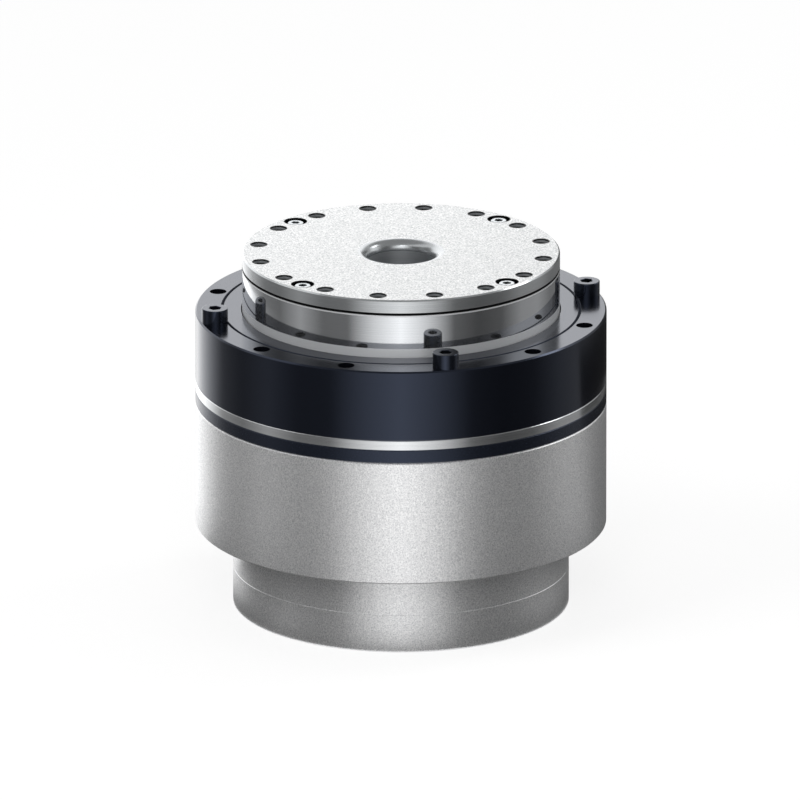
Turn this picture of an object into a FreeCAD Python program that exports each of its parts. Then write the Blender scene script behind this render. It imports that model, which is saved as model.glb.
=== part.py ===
# Hollow robot joint actuator, as a parametric document in millimetres.
# The Z axis is the joint axis: z = 0 is the rear face and the output flange is at the top.
# A hat-shaped flexspline is held between the housing and the output bearing, so the circular
# spline turns with the output hub while the wave generator turns with the motor rotor.
import FreeCAD
import Part
import Sketcher
import math
import os
import re

# Driving dimensions: name, value and what it measures.
SIZES = (
    # outside of the unit
    ("body_diameter", 110, "outside of the housing and of the rings stacked on it"),
    ("cap_diameter", 90, "outside of the rear cover and of the narrow housing collar"),
    ("cover_height", 10.5, "rear cover, from the rear face to its seam"),
    ("collar_height", 12, "narrow rear part of the housing"),
    ("barrel_height", 34, "full-width part of the housing"),
    ("plate_thickness", 3.5, "motor front plate"),
    ("brim_thickness", 2.7, "flexspline brim between the plate and the outer ring"),
    ("ring_height", 19.3, "outer ring of the output bearing"),
    ("ring_width", 12.5, "from the body outside in to the polished hub"),
    ("hub_height", 12.4, "polished hub above the outer ring"),
    ("flange_thickness", 3.6, "output flange on the hub"),
    ("edge_chamfer", 0.4, "bright broken edges of the turned pieces"),
    ("seam_chamfer", 0.15, "fine broken edges where two pieces meet"),
    ("clamp_chamfer", 0.4, "edges of the seam between the outer ring and its clamp ring"),
    ("hub_groove", 0.65, "height of the dark groove under the output flange"),
    ("hub_groove_depth", 1.6, "depth of that groove"),
    # fits
    ("fit_clearance", 0.03, "between pieces that are pressed, screwed or bonded together"),
    ("running_clearance", 0.05, "between faces that run past each other"),
    ("drill_clearance", 0.25, "around a screw in a clearance hole, in radius"),
    # hollow shaft and cable tube
    ("bore_diameter", 18, "cable bore"),
    ("bore_lip", 2.5, "rounded mouth of the cable bore"),
    ("tube_wall", 1, "cable tube"),
    ("tube_gap", 0.6, "between the cable tube and the motor shaft"),
    ("tube_setback", 0.4, "rear end of the cable tube inside the rear face"),
    ("tube_socket", 0.9, "how far the cable tube enters the flange above the hub"),
    ("boss_wall", 4, "boss round the tube socket under the output flange"),
    ("boss_height", 3.6, "boss below the underside of the output flange"),
    ("shaft_wall", 1.9, "motor shaft"),
    ("shaft_shoulder", 1.7, "shaft collar between the two motor bearings, in radius"),
    ("shaft_inset", 0.3, "rear end of the motor shaft above the cover seam"),
    ("end_gap", 0.8, "between the shaft nut and the flange boss"),
    ("nut_thickness", 2, "shaft nut"),
    ("nut_wall", 3.5, "shaft nut, in radius"),
    # motor bearings
    ("bearing_section", 6, "motor bearing, from bore to outside in radius"),
    ("bearing_width", 7, "motor bearing"),
    ("race_thickness", 2.1, "inner and outer races of a motor bearing"),
    ("ball_diameter", 3.5, "balls of a motor bearing"),
    ("ball_count", 10, "balls in each motor bearing"),
    ("cage_width", 5, "ball cage of a motor bearing"),
    ("cage_gap", 0.25, "between a ball cage and the races"),
    ("pocket_gap", 0.1, "round each ball in its cage"),
    ("seat_wall", 4.5, "bearing seats in the housing and the front plate"),
    ("seat_lip", 0.5, "thickness of the lip that stops a bearing"),
    ("seat_lip_reach", 1.6, "how far that lip covers the outer race"),
    # crossed roller output bearing
    ("roller_diameter", 3.9, "crossed rollers"),
    ("roller_length", 3.8, "crossed rollers"),
    ("roller_count", 44, "crossed rollers"),
    ("roller_offset", 2, "roller circle outside the hub, in radius"),
    ("raceway_height", 9.3, "roller circle above the flexspline brim"),
    ("land_gap", 0.3, "half of the gap between the two bearing rings"),
    ("clamp_wall", 0.57, "clamp ring outside the roller groove"),
    ("skirt_gap", 2.3, "inner ring above the flexspline brim"),
    ("lip_gap", 0.3, "clamp ring lip round the hub"),
    ("seal_cover", 1.4, "clamp ring lip above the seal"),
    ("seal_width", 3, "output seal"),
    ("seal_section", 3.3, "output seal, in radius"),
    ("seal_notch", 1, "relief behind the lip of the output seal"),
    ("seal_gap", 0.4, "between the seal and the shoulder of the inner ring"),
    # strain wave gear
    ("hub_wall", 6.5, "hub outside the seat of the circular spline"),
    ("spline_rim", 3.07, "circular spline outside its teeth"),
    ("spline_width", 12, "circular spline"),
    ("spline_flange", 2, "thickness of the circular spline's flange"),
    ("spline_flange_width", 4.2, "room for that flange in the hub, in radius"),
    ("flex_teeth", 100, "teeth of the flexspline, two fewer than the circular spline"),
    ("tooth_face", 11, "length of the flexspline teeth"),
    ("ring_tooth_depth", 0.9, "teeth of the circular spline"),
    ("ring_dedendum", 0.545, "pitch circle to the floor of the circular spline's gaps"),
    ("gap_mouth", 1.25, "gap of the circular spline at the tooth tips"),
    ("gap_floor", 0.75, "gap of the circular spline at its floor"),
    ("flex_addendum", 0.3, "flexspline pitch circle to the tooth tips"),
    ("flex_dedendum", 0.55, "flexspline pitch circle to the tooth roots"),
    ("flex_tip_width", 0.5, "flexspline tooth at its tip"),
    ("flex_root_width", 1, "flexspline tooth at its root"),
    ("cup_wall", 0.6, "flexspline cup under the teeth"),
    ("brim_width", 10, "flexspline brim, in radius"),
    ("diaphragm_thickness", 1, "flexspline diaphragm"),
    ("diaphragm_gap", 0.8, "diaphragm above the front plate"),
    # wave generator
    ("wave_width", 8, "wave generator plug and bearing"),
    ("wave_section", 6.5, "wave bearing, from plug to flexspline"),
    ("wave_race", 1.5, "races of the wave bearing"),
    ("wave_groove", 0.5, "ball groove in each race of the wave bearing"),
    ("wave_ball_count", 17, "balls of the wave bearing"),
    ("spacer_wall", 2.1, "spacer tube between front bearing and wave plug"),
    # motor
    ("barrel_wall", 12, "housing round the stator"),
    ("web_thickness", 3.5, "housing web that carries the rear bearing"),
    ("stator_ledge", 3, "ledge under the stator, in radius"),
    ("stator_rise", 5.5, "ledge under the stator above the housing web"),
    ("stator_length", 16, "stator core"),
    ("stator_teeth", 24, "stator teeth and coils"),
    ("back_iron", 4.5, "stator core outside the slots"),
    ("slot_depth", 6.2, "stator slots"),
    ("stator_tooth_width", 4.2, "stator tooth"),
    ("shoe_width", 6.6, "stator tooth at the air gap"),
    ("shoe_thickness", 1.2, "stator tooth shoe"),
    ("coil_gap", 0.12, "between a coil and the next, and its tooth"),
    ("end_turn", 2.4, "coil beyond each end of the core"),
    ("coil_corner", 1.6, "rounded outer corners of a coil"),
    ("air_gap", 0.7, "between stator and magnets"),
    ("magnet_thickness", 2.2, "rotor magnets"),
    ("magnet_count", 20, "rotor magnets"),
    ("magnet_spacing", 0.6, "between two magnets at the rim"),
    ("rim_wall", 2.4, "rotor rim under the magnets"),
    ("rotor_web", 6, "rotor web between hub and rim"),
    ("rotor_hub_wall", 3.8, "rotor hub on the shaft collar"),
    ("rotor_hub_length", 10, "rotor hub on the shaft collar"),
    ("web_hole_diameter", 5.5, "lightening holes of the rotor web"),
    ("web_hole_count", 10, "lightening holes of the rotor web"),
    ("spigot_depth", 2.5, "front plate spigot in the housing"),
    ("spigot_width", 3, "front plate spigot, in radius"),
    ("ring_section", 1.3, "sealing ring between the housing and the front plate"),
    ("ring_groove_offset", 3, "groove of that ring outside the stator bore"),
    # encoders and boards
    ("collar_wall", 6, "rear cover wall and housing collar"),
    ("board_thickness", 1.6, "printed circuit boards"),
    ("board_ledge", 0.9, "how far the encoder board reaches over the housing collar"),
    ("board_gap", 0.5, "encoder board round the motor shaft"),
    ("sensor_side", 3, "encoder sensor chips"),
    ("sensor_thickness", 0.5, "encoder sensor chips"),
    ("encoder_gap", 0.15, "encoder rings from their sensors"),
    ("encoder_ring_width", 3.5, "encoder rings, in radius"),
    ("encoder_ring_thickness", 1.6, "encoder rings"),
    ("cover_wall", 3, "rear wall of the cover"),
    ("drive_board_rise", 2, "drive board above the rear wall"),
    ("drive_board_gap", 0.3, "drive board inside the cover wall"),
    ("drive_board_bore", 7.5, "drive board round the cable tube, in radius"),
    ("standoff_radius", 2, "board standoffs"),
    ("standoff_inset", 4.7, "board standoffs inside the edge of the drive board"),
    ("standoff_count", 4, "board standoffs"),
    ("bush_wall", 2.4, "bush that guides the rear end of the cable tube"),
    ("power_width", 13, "power connector"),
    ("power_depth", 7, "power connector"),
    ("signal_width", 15, "signal connector"),
    ("signal_depth", 5, "signal connector"),
    ("power_pin", 2.3, "contact pins of the power connector"),
    ("signal_pin", 0.9, "contact pins of the signal connector"),
    ("connector_wall", 0.8, "connector shells"),
    ("connector_setback", 0.5, "connector mouths inside the rear face"),
    ("connector_gap", 0.2, "connectors in the openings of the cover"),
    ("connector_inset", 13, "connectors inside the cover wall"),
    ("pad_thickness", 0.5, "thermal pad on the rear wall"),
    ("chip_side", 5, "power transistors on the drive board"),
    ("chip_pitch", 15, "angle between two power transistors, in degrees"),
    # holding brake
    ("brake_lift", 1.05, "brake end plate above the encoder board"),
    ("end_plate_thickness", 1.5, "brake end plate"),
    ("brake_edge", 3, "brake inside the wall of the housing"),
    ("brake_hub_wall", 4, "brake disc hub on the shaft"),
    ("brake_hub_rise", 1.2, "brake disc hub above the disc"),
    ("brake_bore_gap", 0.7, "still brake pieces round the disc hub"),
    ("disc_thickness", 1.9, "brake disc with its linings"),
    ("lining_thickness", 0.5, "friction lining on each side of the brake disc"),
    ("lining_width", 9, "friction linings, in radius"),
    ("disc_inset", 4.5, "brake disc inside the outside of the brake"),
    ("armature_thickness", 1.6, "brake armature"),
    ("brake_stroke", 0.25, "armature travel"),
    ("magnet_body_thickness", 5.45, "brake magnet body"),
    ("pole_width", 5, "outer pole of the brake magnet, in radius"),
    ("inner_pole_width", 4.5, "inner pole of the brake magnet, in radius"),
    ("brake_coil_depth", 4, "coil pocket of the brake magnet"),
    ("brake_screw_inset", 2, "brake screws inside the edge of the brake"),
    ("sleeve_wall", 0.9, "brake spacer sleeves"),
    ("brake_screw_count", 3, "brake screws, sleeves and springs"),
    ("spring_wire", 0.5, "brake springs"),
    ("spring_radius", 1.1, "brake springs, at the middle of the wire"),
    ("spring_turns", 5, "brake springs"),
    # screws and bolt circles
    ("screw_inset", 3.9, "body bolt circle inside the body"),
    ("ring_screw_count", 4, "screws that hold the stack of rings"),
    ("holes_between", 2, "open bolt holes between two of those screws"),
    ("ring_screw_diameter", 4, "screws that hold the stack of rings"),
    ("ring_screw_head", 7, "head of those screws"),
    ("ring_screw_length", 34, "shank of those screws"),
    ("ring_screw_key", 3, "key of those screws, across flats"),
    ("output_bolt_inset", 4, "output bolt circle inside the hub"),
    ("output_bolt_count", 16, "tapped holes of the output"),
    ("output_tap_diameter", 4.2, "tapped holes of the output"),
    ("output_tap_depth", 12, "tapped holes of the output"),
    ("flange_screw_count", 4, "screws that hold the output flange"),
    ("flange_screw_angle", 33.75, "first of those screws, in degrees"),
    ("flange_screw_diameter", 2.5, "screws that hold the output flange"),
    ("flange_screw_head", 4.5, "head of those screws"),
    ("flange_screw_head_height", 2.5, "head of those screws"),
    ("flange_screw_gap", 0.75, "counterbore round those heads, in radius"),
    ("flange_screw_sink", 0.3, "those heads below the output face"),
    ("flange_screw_length", 9, "shank of those screws"),
    ("flange_screw_key", 2, "key of those screws, across flats"),
    ("spline_screw_count", 8, "screws that hold the circular spline"),
    ("spline_screw_offset", 1.8, "those screws outside the spline seat"),
    ("spline_screw_diameter", 2.5, "screws that hold the circular spline"),
    ("spline_screw_head", 4.2, "head of those screws"),
    ("spline_screw_head_height", 2.2, "head of those screws"),
    ("spline_screw_grip", 4.8, "thread of those screws in the hub"),
    ("cover_screw_count", 6, "screws of the rear cover"),
    ("cover_screw_inset", 3.4, "those screws inside the outside of the cover"),
    ("cover_screw_diameter", 2.5, "screws of the rear cover"),
    ("cover_screw_head", 4.2, "head of those screws"),
    ("cover_screw_head_height", 2.2, "head of those screws"),
    ("cover_screw_seat", 6, "seat of those heads above the rear face"),
    ("cover_screw_grip", 5, "thread of those screws in the housing"),
    ("brake_screw_diameter", 2.5, "screws that hold the brake together"),
    ("brake_screw_head", 4.5, "head of those screws"),
    ("brake_screw_head_height", 1.8, "head of those screws"),
    ("brake_screw_sink", 0.5, "seats of those heads below the face of the housing web"),
    ("board_screw_diameter", 2, "screws of the drive board"),
    ("board_screw_head", 3.6, "head of those screws"),
    ("board_screw_head_height", 1.3, "head of those screws"),
    ("board_screw_grip", 3, "thread of those screws in the standoffs"),
)

# Radii, heights and places worked out from the driving dimensions.
PLACES = (
    # radii inwards from the body
    ("body_radius", "body_diameter / 2", "body"),
    ("cap_radius", "cap_diameter / 2", "rear cover and collar"),
    ("cavity_radius", "cap_radius - collar_wall", "inside of the cover and collar"),
    ("hub_radius", "body_radius - ring_width", "polished hub and output flange"),
    ("screw_circle", "body_radius - screw_inset", "body bolts"),
    ("output_circle", "hub_radius - output_bolt_inset", "output bolts"),
    ("spline_radius", "hub_radius - hub_wall", "seat of the circular spline"),
    ("skirt_bore", "spline_radius + spline_flange_width", "hub round the spline flange"),
    ("spline_screw_circle", "spline_radius + spline_screw_offset", "circular spline screws"),
    ("ring_root", "spline_radius - spline_rim", "floor of the circular spline's gaps"),
    ("ring_tip", "ring_root - ring_tooth_depth", "tips of the circular spline's teeth"),
    ("ring_teeth", "flex_teeth + 2", "teeth of the circular spline"),
    ("ring_pitch", "ring_root - ring_dedendum", "pitch circle of the circular spline"),
    ("flex_pitch", "ring_pitch * flex_teeth / ring_teeth", "flexspline pitch before it is bent"),
    ("wave_height", "ring_pitch - flex_pitch", "how far the wave bends the flexspline"),
    ("flex_tip", "flex_pitch + flex_addendum", "flexspline tooth tips before it is bent"),
    ("flex_root", "flex_pitch - flex_dedendum", "flexspline tooth roots before it is bent"),
    ("flex_bore", "flex_root - cup_wall", "inside of the flexspline before it is bent"),
    ("brim_bore", "body_radius - brim_width", "inside of the thick flexspline brim"),
    ("roller_circle", "hub_radius + roller_offset", "middle of the crossed rollers"),
    ("roller_channel", "roller_diameter + 2 * running_clearance", "side of the square raceway"),
    ("vee_depth", "roller_channel / sqrt(2)", "raceway corner from the roller circle"),
    ("inner_land", "roller_circle - land_gap", "outside of the bearing inner ring"),
    ("outer_land", "roller_circle + land_gap", "inside of the bearing outer ring"),
    ("land_rise", "vee_depth - land_gap", "raceway edge above and below the roller circle"),
    ("clamp_radius", "roller_circle + vee_depth + clamp_wall", "seat of the clamp ring"),
    ("seal_bore", "hub_radius + running_clearance", "lip of the output seal"),
    ("seal_seat", "seal_bore + seal_section", "seat of the output seal"),
    ("stator_radius", "body_radius - barrel_wall", "housing bore round the stator"),
    ("slot_radius", "stator_radius - back_iron", "floor of the stator slots"),
    ("stator_bore", "slot_radius - slot_depth", "stator at the air gap"),
    ("magnet_radius", "stator_bore - air_gap", "magnets at the air gap"),
    ("rim_radius", "magnet_radius - magnet_thickness", "rotor rim under the magnets"),
    ("rim_bore", "rim_radius - rim_wall", "inside of the rotor rim"),
    ("ring_groove_radius", "stator_radius + ring_groove_offset", "middle of the sealing ring"),
    ("cover_screw_circle", "cap_radius - cover_screw_inset", "rear cover screws"),
    ("board_radius", "cavity_radius + board_ledge", "encoder board"),
    ("drive_board_radius", "cavity_radius - drive_board_gap", "drive board"),
    ("standoff_circle", "drive_board_radius - standoff_inset", "board standoffs"),
    ("connector_circle", "cavity_radius - connector_inset", "middle of the connectors"),
    ("brake_radius", "cavity_radius - brake_edge", "outside of the brake"),
    ("disc_radius", "brake_radius - disc_inset", "brake disc"),
    ("brake_screw_circle", "brake_radius - brake_screw_inset", "brake screws and springs"),
    # radii outwards from the cable bore
    ("bore_radius", "bore_diameter / 2", "cable bore"),
    ("tube_radius", "bore_radius + tube_wall", "cable tube"),
    ("tube_seat", "tube_radius + fit_clearance", "pieces fixed on the cable tube"),
    ("boss_radius", "tube_seat + boss_wall", "boss under the output flange"),
    ("shaft_bore", "tube_radius + tube_gap", "inside of the motor shaft"),
    ("shaft_radius", "shaft_bore + shaft_wall", "motor shaft"),
    ("shaft_seat", "shaft_radius + fit_clearance", "pieces fixed on the motor shaft"),
    ("shoulder_radius", "shaft_radius + shaft_shoulder", "collar of the motor shaft"),
    ("race_outside", "shaft_seat + bearing_section", "outside of the motor bearings"),
    ("ball_circle", "shaft_seat + bearing_section / 2", "balls of the motor bearings"),
    ("seat_bore", "race_outside + fit_clearance", "bearing seats"),
    ("seat_radius", "seat_bore + seat_wall", "outside of the bearing seats"),
    ("lip_bore", "race_outside - seat_lip_reach", "lips of the bearing seats"),
    ("rotor_bore", "shoulder_radius + fit_clearance", "rotor hub on the shaft collar"),
    ("rotor_hub_radius", "rotor_bore + rotor_hub_wall", "outside of the rotor hub"),
    ("nut_radius", "shaft_seat + nut_wall", "shaft nut"),
    ("board_bore", "shaft_radius + board_gap", "encoder board round the shaft"),
    ("sensor_circle", "board_bore + sensor_side / 2 + board_gap", "encoder sensors"),
    ("brake_hub_radius", "shaft_seat + brake_hub_wall", "hub of the brake disc"),
    ("brake_bore", "brake_hub_radius + brake_bore_gap", "still brake pieces round that hub"),
    ("coil_bore", "brake_bore + inner_pole_width", "coil pocket of the brake magnet"),
    ("coil_radius", "brake_radius - pole_width", "outside of that pocket"),
    ("bush_radius", "tube_radius + running_clearance + bush_wall", "bush in the rear wall"),
    # heights of the outside
    ("step_level", "cover_height + collar_height", "step from the collar to the barrel"),
    ("barrel_top", "step_level + barrel_height", "front of the housing"),
    ("plate_top", "barrel_top + plate_thickness", "front plate"),
    ("brim_top", "plate_top + brim_thickness", "flexspline brim"),
    ("ring_face", "brim_top + ring_height", "front of the outer ring"),
    ("hub_top", "ring_face + hub_height", "seat of the output flange"),
    ("output_face", "hub_top + flange_thickness", "output face"),
    # heights inside the gear, downwards from the output flange
    ("boss_level", "hub_top - boss_height", "boss under the output flange"),
    ("socket_top", "hub_top + tube_socket", "end of the tube socket"),
    ("nut_top", "boss_level - end_gap", "shaft nut and front end of the shaft"),
    ("wave_top", "nut_top - nut_thickness", "wave generator"),
    ("wave_bottom", "wave_top - wave_width", "wave generator"),
    ("wave_middle", "wave_top - wave_width / 2", "middle of the gear teeth"),
    ("spline_bottom", "wave_middle - spline_width / 2", "circular spline"),
    ("spline_seat", "spline_bottom + spline_flange", "seat of the spline flange"),
    ("tooth_bottom", "wave_middle - tooth_face / 2", "flexspline teeth"),
    ("roller_level", "brim_top + raceway_height", "crossed rollers"),
    ("skirt_bottom", "brim_top + skirt_gap", "lower end of the inner ring"),
    ("seal_top", "ring_face - seal_cover", "output seal"),
    ("seal_bottom", "seal_top - seal_width", "output seal"),
    ("shoulder_level", "seal_bottom - seal_gap", "shoulder of the inner ring"),
    ("diaphragm_bottom", "plate_top + diaphragm_gap", "flexspline diaphragm"),
    ("diaphragm_top", "diaphragm_bottom + diaphragm_thickness", "flexspline diaphragm"),
    ("front_race_top", "plate_top - seat_lip", "front motor bearing"),
    ("front_race_bottom", "front_race_top - bearing_width", "front motor bearing"),
    # heights inside the rear, upwards from the rear face
    ("drive_bottom", "cover_wall + drive_board_rise", "drive board"),
    ("drive_top", "drive_bottom + board_thickness", "drive board"),
    ("board_top", "cover_height + board_thickness", "encoder board"),
    ("shaft_bottom", "cover_height + shaft_inset", "rear end of the motor shaft"),
    ("output_ring_top", "cover_height - sensor_thickness - encoder_gap", "output encoder ring"),
    ("output_ring_bottom", "output_ring_top - encoder_ring_thickness", "output encoder ring"),
    ("motor_ring_bottom", "board_top + sensor_thickness + encoder_gap", "motor encoder ring"),
    ("motor_ring_top", "motor_ring_bottom + encoder_ring_thickness", "motor encoder ring"),
    ("end_plate_bottom", "board_top + brake_lift", "brake end plate"),
    ("end_plate_top", "end_plate_bottom + end_plate_thickness", "brake end plate"),
    ("disc_bottom", "end_plate_top + running_clearance", "brake disc"),
    ("disc_top", "disc_bottom + disc_thickness", "brake disc"),
    ("brake_hub_top", "disc_top + brake_hub_rise", "hub of the brake disc"),
    ("armature_bottom", "disc_top + running_clearance", "brake armature"),
    ("armature_top", "armature_bottom + armature_thickness", "brake armature"),
    ("magnet_body_bottom", "armature_top + brake_stroke + running_clearance", "brake magnet"),
    ("coil_top", "magnet_body_bottom + brake_coil_depth", "coil pocket of the brake"),
    ("web_bottom", "magnet_body_bottom + magnet_body_thickness", "housing web"),
    ("web_top", "web_bottom + web_thickness", "housing web"),
    ("rear_race_bottom", "web_bottom + seat_lip", "rear motor bearing"),
    ("rear_race_top", "rear_race_bottom + bearing_width", "rear motor bearing"),
    ("stator_bottom", "web_top + stator_rise", "stator core"),
    ("stator_top", "stator_bottom + stator_length", "stator core"),
    ("stator_middle", "stator_bottom + stator_length / 2", "middle of the motor"),
)

doc = FreeCAD.newDocument("joint_actuator")
sizes = doc.addObject("Spreadsheet::Sheet", "Sizes")
places = doc.addObject("Spreadsheet::Sheet", "Places")
size_names = {row[0] for row in SIZES}
place_names = {row[0] for row in PLACES}
UP = FreeCAD.Vector(0, 0, 1)
ORIGIN = FreeCAD.Vector(0, 0, 0)
FULL_TURN = 360.0
HEX_SIDES = 6


def bind(text, home=""):
    """Write a size expression with the sheet that holds each of its names."""

    def with_sheet(found):
        name = found.group()
        if name in size_names:
            return "Sizes." + name
        if name in place_names:
            return home + name
        return name

    return re.sub(r"[a-z][a-z_0-9]*", with_sheet, text)


def fill_sheets():
    """Enter the driving dimensions as numbers and the places as formulas of them."""
    for number, (alias, size, note) in enumerate(SIZES, start=1):
        sizes.set(f"A{number}", note)
        sizes.set(f"B{number}", str(size))
        sizes.setAlias(f"B{number}", alias)
    for number, (alias, formula, note) in enumerate(PLACES, start=1):
        places.set(f"A{number}", note)
        places.set(f"B{number}", "=" + bind(formula))
        places.setAlias(f"B{number}", alias)
    doc.recompute()


def cell(text):
    """Bind a size expression for use outside the sheets."""
    return bind(text, "Places.")


def value(text):
    """Read a size expression as a plain number."""
    return float(sizes.evalExpression(cell(text)))


def count(text):
    """Read a size expression as a whole number of pieces."""
    return round(value(text))


def origin_feature(body, role):
    """Find an axis or plane of a body's own origin."""
    return next(item for item in body.Origin.OriginFeatures if item.Role == role)


def new_sketch(body, name, plane):
    """Start a sketch on one of a body's origin planes."""
    sketch = body.newObject("Sketcher::SketchObject", name)
    sketch.AttachmentSupport = [(origin_feature(body, plane), "")]
    sketch.MapMode = "FlatFace"
    return sketch


def place_point(sketch, line, end, across, along):
    """Tie a sketch point to the sheet by its two distances from the sketch origin."""
    for kind, text, axis in (("DistanceX", across, -2), ("DistanceY", along, -1)):
        if text == "0":
            sketch.addConstraint(Sketcher.Constraint("PointOnObject", line, end, axis))
            continue
        rule = Sketcher.Constraint(kind, -1, 1, line, end, value(text))
        sketch.setExpression(f"Constraints[{sketch.addConstraint(rule)}]", cell(text))


def draw_outline(sketch, outline):
    """Draw a closed outline of straight lines through points given as expressions."""
    points = [FreeCAD.Vector(value(across), value(along), 0) for across, along in outline]
    lines = [Part.LineSegment(a, b) for a, b in zip(points, points[1:] + points[:1])]
    sketch.addGeometry(lines)
    joints = [
        Sketcher.Constraint("Coincident", line, 2, (line + 1) % len(lines), 1)
        for line in range(len(lines))
    ]
    sketch.addConstraint(joints)
    for line, (across, along) in enumerate(outline):
        place_point(sketch, line, 1, across, along)


def turned(label, outline):
    """Turn a closed outline of (radius, height) points about the joint axis."""
    body = doc.addObject("PartDesign::Body", label)
    sketch = new_sketch(body, label + "_outline", "XZ_Plane")
    draw_outline(sketch, outline)
    turn = body.newObject("PartDesign::Revolution", label + "_turned")
    turn.Profile = sketch
    turn.ReferenceAxis = (sketch, ["V_Axis"])
    turn.Angle = FULL_TURN
    return body


def ring(label, inner, outer, bottom, top):
    """Turn a plain ring of rectangular section."""
    return turned(label, [(inner, bottom), (outer, bottom), (outer, top), (inner, top)])


def repeat_round(body, feature, copies):
    """Repeat a feature of a body evenly about the joint axis."""
    pattern = body.newObject("PartDesign::PolarPattern", feature.Name + "_round")
    pattern.Originals = [feature]
    pattern.Axis = (origin_feature(body, "Z_Axis"), [""])
    pattern.Angle = FULL_TURN
    pattern.setExpression("Occurrences", cell(copies))
    body.Tip = pattern


def flat_sketch(body, name, height, angle):
    """Start a level sketch at a height, turned about the joint axis."""
    sketch = new_sketch(body, name, "XY_Plane")
    turn = FreeCAD.Rotation(UP, value(angle))
    sketch.AttachmentOffset = FreeCAD.Placement(FreeCAD.Vector(0, 0, value(height)), turn)
    if height != "0":
        sketch.setExpression("AttachmentOffset.Base.z", cell(height))
    return sketch


def drill(body, name, diameter, circle, copies, top, bottom, angle="0"):
    """Drill a ring of round holes downwards from one height to another."""
    sketch = flat_sketch(body, name + "_circle", top, angle)
    sketch.addGeometry(Part.Circle(FreeCAD.Vector(value(circle), 0, 0), UP, value(diameter) / 2))
    place_point(sketch, 0, 3, circle, "0")
    rule = sketch.addConstraint(Sketcher.Constraint("Diameter", 0, value(diameter)))
    sketch.setExpression(f"Constraints[{rule}]", cell(diameter))
    pocket = body.newObject("PartDesign::Pocket", name)
    pocket.Profile = sketch
    pocket.setExpression("Length", cell(f"{top} - ({bottom})"))
    repeat_round(body, pocket, copies)


def ball_groove(body, name, circle, height, diameter):
    """Turn a round ball groove into a bearing race."""
    sketch = new_sketch(body, name + "_circle", "XZ_Plane")
    centre = FreeCAD.Vector(value(circle), value(height), 0)
    sketch.addGeometry(Part.Circle(centre, UP, value(diameter) / 2))
    place_point(sketch, 0, 3, circle, height)
    rule = sketch.addConstraint(Sketcher.Constraint("Diameter", 0, value(diameter)))
    sketch.setExpression(f"Constraints[{rule}]", cell(diameter))
    groove = body.newObject("PartDesign::Groove", name)
    groove.Profile = sketch
    groove.ReferenceAxis = (sketch, ["V_Axis"])
    groove.Angle = FULL_TURN


def window(body, name, middle, depth, width, angle):
    """Cut a rectangular opening through the rear wall."""
    sketch = flat_sketch(body, name + "_outline", "cover_wall", angle)
    near = f"{middle} - ({depth}) / 2"
    far = f"{middle} + ({depth}) / 2"
    half = f"({width}) / 2"
    points = [(near, f"-{half}"), (far, f"-{half}"), (far, half), (near, half)]
    draw_outline(sketch, points)
    pocket = body.newObject("PartDesign::Pocket", name)
    pocket.Profile = sketch
    pocket.setExpression("Length", cell("cover_wall"))
    body.Tip = pocket


def group(label, shapes, height="0"):
    """Add solids as one sub-part, made at their own level and set at a height."""
    feature = doc.addObject("Part::Feature", label)
    feature.Shape = Part.makeCompound(shapes)
    feature.Placement = FreeCAD.Placement(FreeCAD.Vector(0, 0, value(height)), FreeCAD.Rotation())
    return feature


def round_the_axis(shape, copies, start=0.0):
    """Copy a solid evenly about the joint axis."""
    solids = []
    for index in range(copies):
        solid = shape.copy()
        solid.rotate(ORIGIN, UP, start + index * FULL_TURN / copies)
        solids.append(solid)
    return solids


def spun(points, angle=FULL_TURN):
    """Turn a closed outline of (radius, height) numbers about the Z axis."""
    corners = [FreeCAD.Vector(radius, 0, height) for radius, height in points]
    return Part.Face(Part.makePolygon(corners + corners[:1])).revolve(ORIGIN, UP, angle)


def socket_screw(head, head_height, shank, length, key):
    """Make a socket screw whose head stands on z = 0 with its shank below."""
    edge = head_height / 10
    outline = [
        (0, -length),
        (shank / 2, -length),
        (shank / 2, 0),
        (head / 2, 0),
        (head / 2, head_height - edge),
        (head / 2 - edge, head_height),
        (0, head_height),
    ]
    corners = [FreeCAD.Vector(key / math.sqrt(3), 0, head_height / 2)]
    turn = FreeCAD.Rotation(UP, FULL_TURN / HEX_SIDES)
    while len(corners) < HEX_SIDES:
        corners.append(turn.multVec(corners[-1]))
    socket = Part.Face(Part.makePolygon(corners + corners[:1]))
    return spun(outline).cut(socket.extrude(FreeCAD.Vector(0, 0, head_height)))


def oval_prism(offset, bottom, top):
    """Make a prism of the wave generator's oval, offset from the flexspline bore."""
    middle = value("flex_bore") + offset
    wave = value("wave_height")
    centre = FreeCAD.Vector(0, 0, bottom)
    oval = Part.Ellipse(centre, middle + wave, middle - wave)
    face = Part.Face(Part.Wire(oval.toShape()))
    return face.extrude(FreeCAD.Vector(0, 0, top - bottom))


def bent(radius, angle, height):
    """Find where the wave moves a point of the flexspline."""
    wave = value("wave_height")
    shift = wave / (2 * value("flex_pitch")) * math.sin(2 * angle)
    reach = radius + wave * math.cos(2 * angle)
    return FreeCAD.Vector(
        reach * math.cos(angle - shift),
        reach * math.sin(angle - shift),
        height,
    )


def shift_along_x(shape, text):
    """Move a solid outwards along X by a size expression."""
    shape.translate(FreeCAD.Vector(value(text), 0, 0))
    return shape


fill_sheets()


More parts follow.
